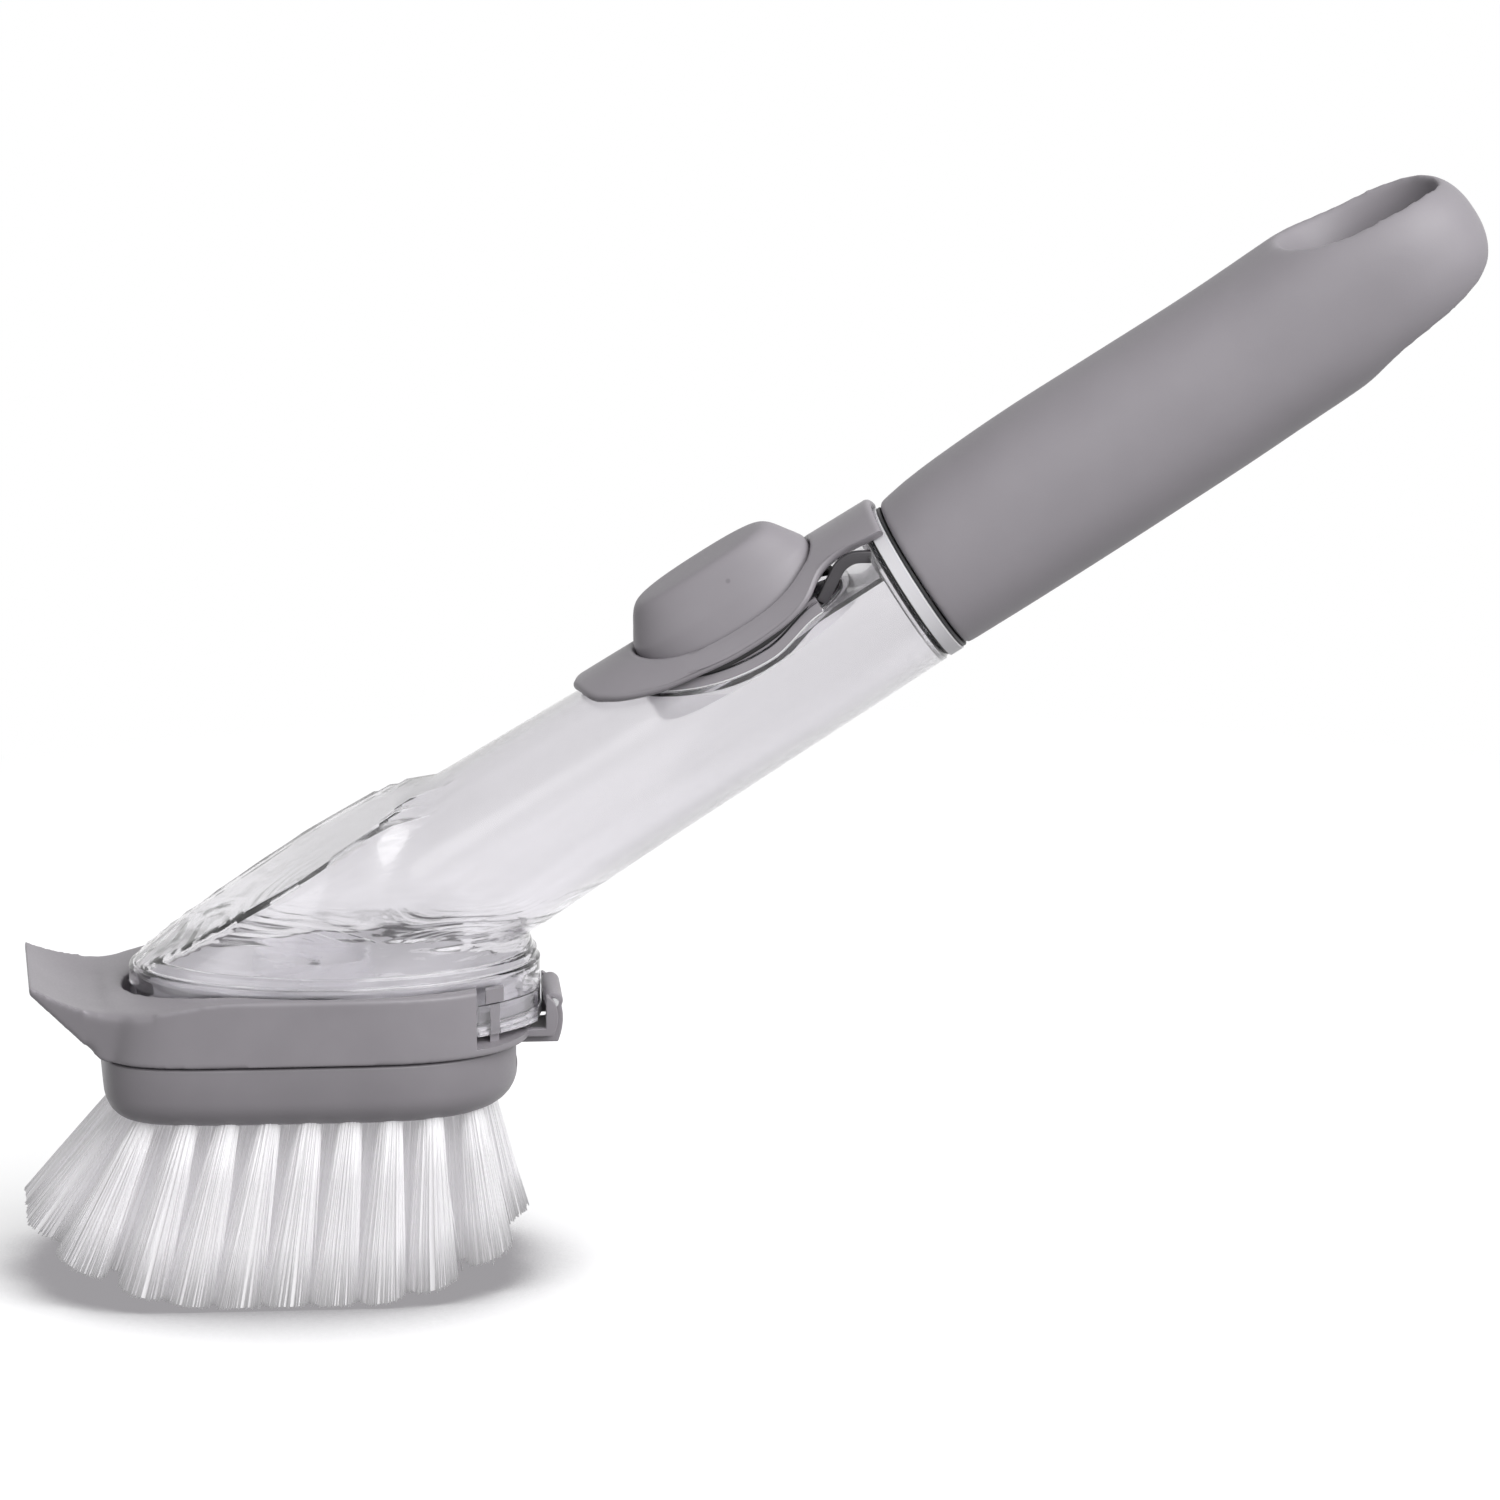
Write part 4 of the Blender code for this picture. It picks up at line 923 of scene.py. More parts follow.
def wall_point(centre, direction, angle, inset):
    """Where a ray in a section plane leaves the form, moved in by the wall."""
    ray = Vector((0, 1, 0)) * math.cos(angle) + direction * math.sin(angle)
    low, high = 0.0, 2 * foot_half_length
    for _ in range(26):
        reach = (low + high) / 2
        point = centre + ray * reach
        if wall_distance(point.x, point.y, point.z) + inset < 0:
            low = reach
        else:
            high = reach
    point = centre + ray * low
    if inset:
        point = point + ray * foot_wave(point)
    return point


def upright_ring(behind, radius):
    """A ring square to the tube axis, in the head frame."""
    ring = []
    for angle in half_step_angles(round_points):
        point = Vector((-behind, radius * math.cos(angle), radius * math.sin(angle)))
        ring.append(head_frame.inverted() @ tube_frame @ point)
    return ring


def in_head_frame(bm):
    bmesh.ops.transform(bm, matrix=head_frame.inverted() @ tube_frame, verts=bm.verts)
    return bm


def pocket_base(behind):
    """Height of the pump's pocket above the tube axis: it rises to the skin at the toe end."""
    if behind > pocket_base_place:
        return pocket_base_low + pocket_toe_rise * ((behind - pocket_base_place) / pocket_toe_run) ** 2
    return mix(pocket_base_low, neck_flat, smooth_step((pocket_base_place - behind) / pocket_neck_run))


def pocket_forms(wall):
    """What the pump's pocket takes from the tube: a long hollow across it, and a well under the dome."""
    top = tube_foot_radius + overrun
    rings = []
    for behind in spread(pocket_toe_end, neck_flat_near - wall, outline_points // 2):
        low = pocket_base(behind) - wall
        corners = ((-top, low), (top, low), (top, top + low), (-top, top + low))
        rings.append([(-behind, y, z) for y, z in corners])
    well = prism(dome_outline(well_gap + wall), pocket_floor - wall, top)
    return in_head_frame(skin(rings)), in_head_frame(well)


def make_reservoir():
    angles = half_step_angles(round_points)
    plan = ring_plan()
    outer = [upright_ring(-spigot_length, spigot_radius), upright_ring(tube_neck_end, spigot_radius),
             upright_ring(tube_neck_end, tube_neck_radius - neck_edge),
             upright_ring(tube_neck_end + neck_edge, tube_neck_radius)]
    outer += [upright_ring(behind, tube_radius(behind))
              for behind in spread(tube_neck_end + neck_edge, upright_end, 14)[1:-1]]
    outer += [[wall_point(centre, direction, angle, 0.0) for angle in angles] for centre, direction in plan]

    step = tube_neck_end + spigot_wall
    bore = spigot_radius - spigot_wall
    inner = [upright_ring(-spigot_length - overrun, bore), upright_ring(step, bore)]
    inner += [upright_ring(behind, tube_radius(behind) - tube_wall)
              for behind in spread(step, upright_end, 14)[:-1]]
    inner += [[wall_point(centre, direction, angle, tube_wall) for angle in angles]
              for centre, direction in plan]
    inner.append([point - Vector((0, 0, overrun)) for point in inner[-1]])

    shell = as_object(skin(outer), "reservoir_shell")
    cavity = as_object(skin(inner), "cavity")
    for form in pocket_forms(0):
        combine(shell, form)
    for form in pocket_forms(tube_wall):
        combine(cavity, form)
    join(shell, cavity, "DIFFERENCE")
    hole = rod(valve_stem_radius + fit_gap, (-dome_middle, 0, 0), (-dome_middle, 0, pocket_floor + overrun))
    combine(shell, in_head_frame(hole))
    dress(shell, head_frame, "body", clear_plastic,
          ("reservoir_tube", "reservoir_foot"), soft_angle)


def make_sole_cup():
    """The raised frosted floor on the sole plate, open in the middle above the valve."""
    wall, rim = foot_outline(cup_inset), foot_outline(cup_rim_inset)
    collar, inside, hole = [oval(0, radius, radius) for radius in
                            (collar_radius, collar_radius - collar_wall, cup_hole_radius)]
    under = foot_outline(cup_inset + cup_wall)
    levels = [(wall, sole_top), (wall, cup_top - cup_flare), (rim, cup_top - cup_wall), (rim, cup_top),
              (collar, cup_top), (collar, collar_top), (inside, collar_top), (inside, cup_top),
              (hole, cup_top), (hole, cup_top - cup_wall),
              (under, cup_top - cup_flare - cup_wall), (under, sole_top)]
    cup = as_object(stack(levels, closed=True), "sole_cup")
    soften_edges(cup, cup_wall / 4)
    dress(cup, head_frame, "body", frosted_plastic)


def make_skirt():
    """The clear skirt and ledge at the heel, where the frame's window leaves the foot bare."""
    skirt = as_object(prism(foot_outline(-skirt_far), skirt_bottom, skirt_top), "foot_skirt")
    combine(skirt, prism(foot_outline(-skirt_near), skirt_bottom + skirt_ledge, skirt_top + overrun))
    combine(skirt, prism(foot_outline(-fit_gap / 3), 0, frame_rim))
    span = box((skirt_start, -frame_half_width, 0), (skirt_end, frame_half_width, frame_rim))
    combine(skirt, span, "INTERSECT")
    dress(skirt, head_frame, "body", clear_plastic, (), soft_angle)


# Scraper frame

def foot_outline(inset=0.0, toe_gap=0.0):
    """The foot's oval, moved in, or moved out at the toe alone."""
    points = []
    for x, y in oval(foot_centre, foot_half_length - inset, foot_half_width - inset):
        back = max(0.0, (foot_centre - x) / foot_half_length)
        points.append((x - toe_gap * back * back, y))
    return points


def rim_height(x):
    return frame_rim - rim_dip * smooth_step((-rim_dip_start - x) / rim_dip_length)


def lip_section(share):
    """One section of the scraper lip, its top hollowed across and along."""
    x = -lip_root - (lip_edge - lip_root) * share
    half_width = mix(lip_root_half_width, lip_edge_half_width, share)
    top = mix(lip_root_top, lip_edge_top, share ** 2)
    flat_share = (frame_toe - lip_root) / (lip_edge - lip_root)
    slope_share = max(0.0, share - flat_share) / (1 - flat_share)
    bottom = mix(lip_root_bottom, lip_edge_top - lip_edge_thickness, slope_share)
    along = min(1.0, mix(lip_hollow_start_share, 1.0, share))
    hollow = lip_hollow * math.sin(math.pi * along ** lip_hollow_power)
    upper = [(x, half_width * across, top - hollow * (1 - across * across)) for across in spread(-1, 1, 17)]
    lower = [(x, half_width * across, bottom) for across in spread(1, -1, 9)]
    return upper + lower


def curved_face(face, root, top, bottom):
    """The bulging outer face of the latch or its ears, from the top down."""
    shares = spread(0, 1, 19)
    return [(root + (face - root) * read_shares(latch_height_shares, latch_reach_shares, share),
             mix(top, bottom, share)) for share in shares]


def near_lip_root(point):
    """Where the lip grows out of the frame, away from the foot's pocket."""
    zone = frame_toe - lip_root
    along = -frame_toe - zone < point.x < -lip_root + 2 * zone
    out = math.hypot((point.x - foot_centre) / foot_half_length, point.y / foot_half_width)
    return along and out > lip_root_clear and frame_base + zone / 2 < point.z


def add_hooks(obj):
    """The snap hooks in the frame's window, each a head on a thinner stem."""
    bottom, top = frame_base - overrun, frame_rim + overrun
    head = (snap_hook_head, snap_hook_bottom, 0)
    stem = (snap_hook_stem, frame_base + frame_floor / 2, snap_hook_margin)
    for thickness, low, margin in (head, stem):
        start, end = snap_hook_start + margin, snap_hook_start + snap_hook_length - margin
        block = box((start, -frame_half_width, low), (end, frame_half_width, snap_hook_top))
        hook = as_object(block, "hook")
        combine(hook, prism(foot_outline(-fit_gap - thickness), bottom, top), "INTERSECT")
        combine(hook, prism(foot_outline(-fit_gap), bottom, top))
        join(obj, hook)


def add_ears(obj):
    """The ears at both sides of the latch, with the bulge of its face."""
    root = foot_heel + ear_inner_gap
    arm = frame_heel - 2 * ear_thickness
    outline = curved_face(ear_face, root, ear_top, frame_base)
    outline += [(arm, frame_base), (arm, frame_floor_top), (root, frame_floor_top), (root, ear_top)]
    near = latch_half_width + fit_gap
    far = near + ear_thickness
    for low, high in ((-far, -near), (near, far)):
        ear = as_object(prism(outline, low, high, "XZ"), "ear")
        soften_edges(ear, ear_edge)
        join(obj, ear)


def make_frame():
    rims = [rounded_outline(frame_toe - inset, frame_heel - inset, frame_half_width - inset)
            for inset in (0.0, frame_draft)]
    lower, upper = rims
    levels = [at_height(lower, frame_base), at_height(upper, rim_height)]
    for share in rim_inner_shares:
        drawn_in = [(frame_middle + (x - frame_middle) * share, y * share) for x, y in upper]
        levels.append(at_height(drawn_in, rim_height))
    obj = as_object(skin(levels), "scraper_frame_skin")
    combine(obj, skin([lip_section(share) for share in spread(0, 1, 25)]), "UNION")
    pocket = foot_outline(-fit_gap, pocket_toe_gap)
    combine(obj, prism(pocket, frame_floor_top, frame_rim + overrun))
    opening = oval(0, opening_half_length, opening_half_width, bend=opening_power)
    combine(obj, prism(opening, frame_base - overrun, frame_floor_top + overrun))

    remesh(obj, frame_voxel)
    relax(obj, 4)
    relax(obj, 30, near_lip_root)
    thin_out(obj, frame_share_kept)
    combine(obj, box((window_start, -2 * frame_half_width, frame_floor_top),
                     (2 * frame_heel, 2 * frame_half_width, frame_rim + overrun)))
    add_hooks(obj)
    add_ears(obj)
    dress(obj, head_frame, "body", grey_plastic, ("scraper_frame",), soft_angle)


def make_latch():
    root = foot_heel + ear_inner_gap
    face = curved_face(latch_face, root + latch_wall / 2, latch_top, latch_bottom)
    inner = [(x - latch_wall, z) for x, z in reversed(face[3:-3])]
    lip = latch_bottom + latch_lip_height
    nose = [(latch_nose_reach, latch_bottom), (latch_nose_reach, lip), (face[-1][0] - latch_wall, lip)]
    obj = as_object(prism(face + nose + inner, -latch_half_width, latch_half_width, "XZ"), "latch_tab")
    knuckle = rod(latch_knuckle_radius, (latch_pin_x, -latch_half_width, latch_pin_z),
                  (latch_pin_x, latch_half_width, latch_pin_z))
    combine(obj, knuckle, "UNION")
    remesh(obj, frame_voxel / 2)
    relax(obj, 4)
    thin_out(obj, frame_share_kept)
    dress(obj, head_frame, "latch", grey_plastic, ("release_latch",), softest_angle)
    reach = latch_half_width + fit_gap + ear_thickness / 2
    pin = rod(latch_pin_radius, (latch_pin_x, -reach, latch_pin_z), (latch_pin_x, reach, latch_pin_z))
    pin = as_object(pin, "latch_pin_short")
    dress(pin, head_frame, "body", pin_steel, ("latch_pin",))


# Refill

def block_outline(inset):
    return rounded_outline(block_toe - inset, block_heel - inset, block_half_width - inset, round_points)


def make_block():
    levels = [(block_outline(inset), block_base + lift) for inset, lift in rounding(block_round, 9)]
    levels += [(block_outline(inset), block_top - drop) for drop, inset in rounding(block_top_edge, 4)]
    obj = as_object(stack(levels), "refill_block_skin")
    length, width = opening_half_length - fit_gap, opening_half_width - fit_gap
    rib_outer = oval(0, length, width, bend=opening_power)
    rib_inner = oval(0, length - block_rib_width, width - block_rib_width, bend=opening_power)
    low, high = block_top - block_rib_height, block_top + block_rib_height
    rib = stack([(rib_outer, low), (rib_outer, high), (rib_inner, high), (rib_inner, low)], closed=True)
    combine(obj, rib, "UNION")
    combine(obj, rod(soap_hole_radius, (0, 0, block_base - overrun), (0, 0, block_top + overrun)))
    combine(obj, box((block_heel - nose_slot_depth, -latch_half_width - fit_gap, nose_slot_bottom),
                     (block_heel + overrun, latch_half_width + fit_gap, block_top + overrun)))
    dress(obj, head_frame, "refill", block_plastic, ("refill_block",))


def tuft_half_width(x):
    """Half the width that tufts fill at a place along the block."""
    heel_side = x > frame_middle
    reach = block_heel - frame_middle if heel_side else block_toe + frame_middle
    bend = frame_heel_power if heel_side else frame_toe_power
    share = min(1.0, abs(x - frame_middle) / (reach - tuft_border))
    return (block_half_width - tuft_border) * (1 - share ** bend) ** (1 / bend)


def tuft_places():
    """Base points of the tufts, in five rows that draw in with the block's ends."""
    rows = [(-1, tufts_outer_row, tuft_first_outer), (-inner_row_share, tufts_inner_row, tuft_first_inner),
            (0, tufts_outer_row, tuft_first_outer), (inner_row_share, tufts_inner_row, tuft_first_inner),
            (1, tufts_outer_row, tuft_first_outer)]
    places = []
    for share, count, first in rows:
        for i in range(count):
            x = i * tuft_pitch - first
            if share == 0 and i == count - 1:
                x += heel_tuft_step
            y = share * tuft_half_width(x)
            over_hole = share == 0 and abs(x) < tuft_keep_from_hole
            crowded = share != 0 and abs(y) < tuft_least_row
            if not over_hole and not crowded:
                places.append((x, y))
    return places


def trim_height(x):
    reach = abs(x + trim_centre) / trim_reach
    return max(0.0, trim_rise * reach ** trim_power - bristle_flat)


def filament_tip(base_x, base_y, lean_x, spread_x, spread_y):
    """Follow a tuft's lean down to the trimmed tips."""
    lean = bristle_lean - bristle_lean_per_pitch * lean_x / tuft_pitch
    side_share = abs(base_y) / (block_half_width - tuft_border)
    toe_share = max(0.0, -toe_lean_start - lean_x) / toe_lean_reach
    lean += toe_lean_more * toe_share ** lean_power * (1 - toe_lean_side_share * side_share)
    heel_share = max(0.0, lean_x - heel_lean_start) / heel_lean_reach
    lean -= heel_lean_more * heel_share ** lean_power
    spread_x *= 1 + toe_spread_more * toe_share
    height = 0.0
    for _ in range(5):
        drop = block_base - height
        x = base_x - drop * math.tan(lean) + spread_x
        height = trim_height(x)
    y = base_y + base_y * bristle_spread_share * drop / block_base + spread_y
    return Vector((x, y, height))


def strand_ends(tuft_x, tuft_y, reach, angle):
    """Root and tip of a strand that stands at a share of its tuft's radius."""
    c, s = reach * math.cos(angle), reach * math.sin(angle)
    grow = tuft_tip_radius - tuft_base_radius
    root = Vector((tuft_x + tuft_base_radius * c, tuft_y + tuft_base_radius * s,
                   block_base + filament_root))
    return root, filament_tip(root.x, root.y, tuft_x, grow * c, grow * s)


def add_filament(verts, faces, root, tip):
    """A thin tube from root to tip with a slight bow of its own."""
    bow = Vector((dice.uniform(-1, 1), dice.uniform(-1, 1), 0)) * filament_bow
    first = len(verts)
    turn = dice.uniform(0, math.pi)
    for step in range(filament_steps + 1):
        share = step / filament_steps
        centre = root.lerp(tip, share) + bow * math.sin(math.pi * share)
        for side in range(filament_sides):
            angle = turn + 2 * math.pi * side / filament_sides
            verts.append(centre + Vector((math.cos(angle), math.sin(angle), 0)) * filament_radius)
    for step in range(filament_steps):
        for side in range(filament_sides):
            low = first + step * filament_sides
            following = (side + 1) % filament_sides
            high = low + filament_sides
            faces.append((low + side, high + side, high + following, low + following))
    faces.append(tuple(first + side for side in range(filament_sides)))
    last = first + filament_steps * filament_sides
    faces.append(tuple(last + side for side in reversed(range(filament_sides))))


def tip_room():
    """The part's own box in the head's frame, less a filament's bow and radius at its sides."""
    margin = Vector((1, 1, 0)) * (filament_bow + filament_radius)
    low, high = [head_frame.inverted() @ Vector(corner) for corner in cad_bounds]
    return low + margin, high - margin


def tuft_core(tuft_x, tuft_y):
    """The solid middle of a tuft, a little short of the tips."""
    low, high = tip_room()
    base_ring, tip_ring = [], []
    for i in range(core_sides):
        base, tip = strand_ends(tuft_x, tuft_y, core_share, 2 * math.pi * i / core_sides)
        tip.x, tip.y = max(tip.x, low.x), min(max(tip.y, low.y), high.y)
        base_ring.append(base)
        tip_ring.append(tip + (base - tip).normalized() * core_tip_lift)
    return [base_ring, [base.lerp(tip, 0.5) for base, tip in zip(base_ring, tip_ring)], tip_ring]


def make_cores():
    cores = bmesh.new()
    for tuft_x, tuft_y in tuft_places():
        mesh = bpy.data.meshes.new("core")
        core = skin(tuft_core(tuft_x, tuft_y))
        core.to_mesh(mesh)
        core.free()
        cores.from_mesh(mesh)
        bpy.data.meshes.remove(mesh)
    obj = as_object(cores, "tuft_cores")
    dress(obj, head_frame, "refill", white_core_painted_glow, (), softer_angle)


def make_bristles():
    golden = math.pi * (3 - math.sqrt(5))
    box_low, box_high = tip_room()
    verts, faces = [], []
    for tuft_x, tuft_y in tuft_places():
        for i in range(filaments_in_tuft):
            share = (i + 0.5) / filaments_in_tuft
            if share < inner_filament_share:
                reach = rim_filament_start * math.sqrt(share / inner_filament_share)
            else:
                outer = (share - inner_filament_share) / (1 - inner_filament_share)
                reach = math.sqrt(mix(rim_filament_start ** 2, 1.0, outer))
            angle = golden * i + dice.uniform(-strand_turn, strand_turn)
            base, tip = strand_ends(tuft_x, tuft_y, reach, angle)
            scatter = stray_scatter if dice.random() < stray_share else tip_scatter
            tip += Vector((dice.gauss(0, scatter), dice.gauss(0, scatter), 0))
            if tip.x < box_low.x:
                tip.x = box_low.x + dice.uniform(0, stray_scatter)
            tip.y = min(max(tip.y, box_low.y), box_high.y)
            tip.z = max(0.0, tip.z + dice.uniform(0, trim_scatter))
            add_filament(verts, faces, base, tip)
    mesh = bpy.data.meshes.new("bristle_tufts")
    mesh.from_pydata([tuple(v) for v in verts], [], faces)
    obj = bpy.data.objects.new("bristle_tufts", mesh)
    show(obj)
    nodes = ("bristles_toe", "bristles_mid_toe", "bristles_mid_heel", "bristles_heel")
    dress(obj, head_frame, "refill", white_nylon_painted_glow, nodes, 0)


# Pump

def dome_ring(share, inset=0.0):
    """One level of the dome, moved in by a wall."""
    length = dome_half_length * read_shares(dome_height_shares, dome_length_shares, share) - inset
    width = dome_half_width * read_shares(dome_height_shares, dome_width_shares, share) - inset
    return oval(-dome_middle, length, width, round_points, dome_power)


def make_dome():
    level_shares = [0.0, 0.02] + spread(0.06, 0.40, 6) + spread(0.43, 0.97, 30)
    level_shares += [0.98, 0.988, 0.994, 1.0]
    inner_shares = spread(0.0, 0.90, 14)[1:]
    outer = [at_height(dome_ring(share), dome_skirt + dome_height * share) for share in level_shares]
    low_edge = at_height(dome_ring(0.0, dome_wall), dome_skirt)
    inner = [at_height(dome_ring(share, dome_wall), dome_skirt + (dome_height - dome_wall) * share)
             for share in inner_shares]
    length, width = dome_half_length * crown_length_share, dome_half_width * crown_width_share
    crown = [oval(-dome_middle, length * share, width * share, round_points, dome_power)
             for share in crown_ring_shares]
    crown = [at_height(outline, dome_crown) for outline in crown]
    rings = list(reversed(inner)) + [low_edge] + outer + crown
    obj = as_object(skin(rings), "button_dome_skin")
    relax(obj, 3, lambda point: point.z > dome_skirt + dome_height * dome_smooth_share)
    mark_gate(obj)
    dress(obj, tube_frame, "button", dome_silicone, ("button_dome",), softer_angle)


def mark_gate(obj):
    """The dot where the silicone was injected, found on the dome by looking through the photograph."""
    right, up, backward = camera_axes()
    eye = view_centre + backward * camera_distance
    aim = (view_centre + right * (gate_mark_pixel[0] - photo_pixels / 2) * pixel_size
           - up * (gate_mark_pixel[1] - photo_pixels / 2) * pixel_size)
    back = tube_frame.inverted()
    start = back @ eye
    found, place, _, _ = obj.ray_cast(start, (back @ aim - start).normalized())
    if not found:
        return
    tree = dome_silicone.node_tree
    shader = shader_of(dome_silicone)
    coordinates = tree.nodes.new("ShaderNodeTexCoord")
    distance = tree.nodes.new("ShaderNodeVectorMath")
    distance.operation = "DISTANCE"
    distance.inputs[1].default_value = tube_frame @ place
    tree.links.new(coordinates.outputs["Object"], distance.inputs[0])
    spot = add_range(tree, distance.outputs["Value"], 1.0, 0.0, gate_mark_radius / 2, gate_mark_radius)
    plain = shader.inputs["Base Color"].links[0].from_socket
    tree.links.new(add_blend(tree, spot, plain, tint(grey_colour, 0.72)), shader.inputs["Base Color"])


def plate_half(x):
    """Half width of the button plate at a place along the tube."""
    share = (-plate_near - x) / (plate_far - plate_near)
    if share < 0 or share > 1:
        return 0.0
    return plate_half_width * max(0.0, read_shares(plate_length_shares, plate_width_shares, share))


def plate_reach(c, s):
    """Distance from the dome's middle to the plate's outline in one direction."""
    step = plate_edge / 2
    reach = dome_half_width
    while abs(s) * (reach + step) < plate_half(-dome_middle + c * (reach + step)):
        reach += step
    low, high = reach, reach + step
    for _ in range(12):
        middle = (low + high) / 2
        if abs(s) * middle < plate_half(-dome_middle + c * middle):
            low = middle
        else:
            high = middle
    return low


def plate_point(x, y, lift):
    """A point of the plate wrapped round the tube, lifted from its under face."""
    slope = (tube_middle_radius - tube_neck_radius) / (tube_middle_reach - tube_neck_end)
    under = tube_neck_radius + slope * -x + fit_gap
    angle = math.asin(min(1.0, max(-1.0, y / (under + plate_thickness))))
    return (x, (under + lift) * math.sin(angle), (under + lift) * math.cos(angle))


def make_plate():
    hole_length, hole_width = dome_half_length + fit_gap, dome_half_width + fit_gap
    edges = []
    for angle in half_step_angles(2 * round_points):
        c, s = math.cos(angle), math.sin(angle)
        bends = (abs(c) / hole_length) ** dome_power + (abs(s) / hole_width) ** dome_power
        edges.append((c, s, bends ** (-1 / dome_power), plate_reach(c, s)))
    section = [(0.0, 0.0, 0.0)]
    section += [(0.0, inset, plate_thickness - drop) for inset, drop in reversed(rounding(plate_edge, 4))]
    section += [(share, 0.0, plate_thickness) for share in spread(0.1, 0.9, 9)]
    section += [(1.0, -inset, plate_thickness - drop) for inset, drop in rounding(plate_edge, 5)]
    section += [(1.0, -inset, lift) for lift, inset in rounding(plate_edge, 4)]
    section += [(share, 0.0, 0.0) for share in spread(0.9, 0.1, 9)]
    rings = []
    for share, shift, lift in section:
        ring = []
        for c, s, inner, outer in edges:
            reach = mix(inner, outer, share) + shift
            ring.append(plate_point(-dome_middle + c * reach, s * reach, lift))
        rings.append(ring)
    obj = as_object(skin(rings, closed=True), "button_plate_skin")
    dress(obj, tube_frame, "body", grey_plastic, ("button_plate",), softer_angle)


def make_straps():
    # The struts under each side of the plate's neck, in a near-black that is painted shade for the shadow
    # there
    for name, low, high in (("plate_strap_n", -strap_outer, -strap_inner),
                            ("plate_strap_f", strap_inner, strap_outer)):
        strap = as_object(prism(strap_outline(), low, high, "XZ"), name)
        soften_edges(strap, strap_edge)
        dress(strap, tube_frame, "body", strap_painted_shade)


def strap_outline():
    """The arched strap under each side of the plate's neck, from the tray up and on to the ring."""
    along = [read_shares(strap_shares, strap_places, share) for share in spread(0, 1, 25)]
    up = [read_shares(strap_shares, strap_heights, share) for share in spread(0, 1, 25)]
    upper, lower = [], []
    for i, (x, z) in enumerate(zip(along, up)):
        before, after = max(i - 1, 0), min(i + 1, len(up) - 1)
        across = Vector((up[after] - up[before], along[before] - along[after]))
        across = across.normalized() * strap_thickness / 2
        upper.append((-x - across.x, z + across.y))
        lower.append((-x + across.x, z - across.y))
    return upper + list(reversed(lower))


def dome_outline(grow):
    return oval(-dome_middle, dome_half_length + grow, dome_half_width + grow, round_points, dome_power)


def half_across(behind, level):
    """Half width inside the tube's skin at a level above its axis."""
    radius = tube_radius(behind) - tray_skin_gap
    return math.sqrt(radius * radius - level * level)


def tray_section(behind):
    """Half of the tray across the tube: a layer on the pocket's base, a groove and a thinner layer."""
    low = pocket_base(behind) + fit_gap
    lip = low + tray_layer
    high = lip + tray_groove
    levels = [(low, 0), (lip, 0), (lip, tray_groove_depth), (high, tray_groove_depth), (high, 0),
              (high + tray_upper, 0)]
    return [(half_across(behind, level) - inset, level) for level, inset in levels]


def make_liner():
    """The pale sheet that lies on the pocket's base, under the tray and on to the neck."""
    rings = []
    for behind in spread(liner_far, tray_near, outline_points):
        low = pocket_base(behind) + liner_gap
        high = low + liner_thickness
        half = half_across(behind, high)
        corners = ((half, low), (half, high), (-half, high), (-half, low))
        rings.append([(-behind, y, z) for y, z in corners])
    liner = as_object(skin(rings), "pocket_liner")
    combine(liner, prism(dome_outline(well_gap), 0, tube_foot_radius))
    dress(liner, tube_frame, "body", pale_liner, (), soft_angle)

    def sleeve_top(x):
        return max(pocket_floor, pocket_base(-x)) - tube_wall - liner_gap

    grow = well_gap + tube_wall + liner_gap
    inner, outer = dome_outline(grow), dome_outline(grow + liner_thickness)
    low = pocket_floor - tube_wall - liner_thickness
    sleeve = stack([(outer, low), (outer, sleeve_top), (inner, sleeve_top), (inner, low)], closed=True)
    sleeve = as_object(sleeve, "well_sleeve")
    dress(sleeve, tube_frame, "body", pale_liner, (), soft_angle)


def make_tray():
    """The grey tray across the pocket, the pad under the dome and the black wiper round its skirt."""
    rings = []
    for behind in spread(tray_far, tray_near, outline_points):
        half = tray_section(behind)
        rings.append([(-behind, y, z) for y, z in half] + [(-behind, -y, z) for y, z in reversed(half)])
    tray = as_object(skin(rings), "pump_tray")
    combine(tray, prism(dome_outline(2 * fit_gap + seal_width), 0, tube_foot_radius))
    dress(tray, tube_frame, "body", grey_plastic, ("pump_base",), soft_angle)

    floor = pocket_floor + fit_gap
    wide, narrow = dome_outline(well_gap - fit_gap), dome_outline(-dome_wall - fit_gap)
    step = floor + tray_floor
    pad = stack([(wide, floor), (wide, step), (narrow, step), (narrow, floor + tray_pad)])
    pad = as_object(pad, "pump_pad")
    combine(pad, rod(valve_stem_radius + fit_gap, (-dome_middle, 0, 0), (-dome_middle, 0, floor + overrun)))
    dress(pad, tube_frame, "body", frosted_plastic, (), soft_angle)

    seal_in, seal_out = dome_outline(fit_gap), dome_outline(fit_gap + seal_width)
    high = seal_low + seal_height
    seal = stack([(seal_out, seal_low), (seal_out, high), (seal_in, high), (seal_in, seal_low)], closed=True)
    seal = as_object(seal, "pump_wiper")
    dress(seal, tube_frame, "body", black_rubber, ("pump_seal",), soft_angle)


# Handle

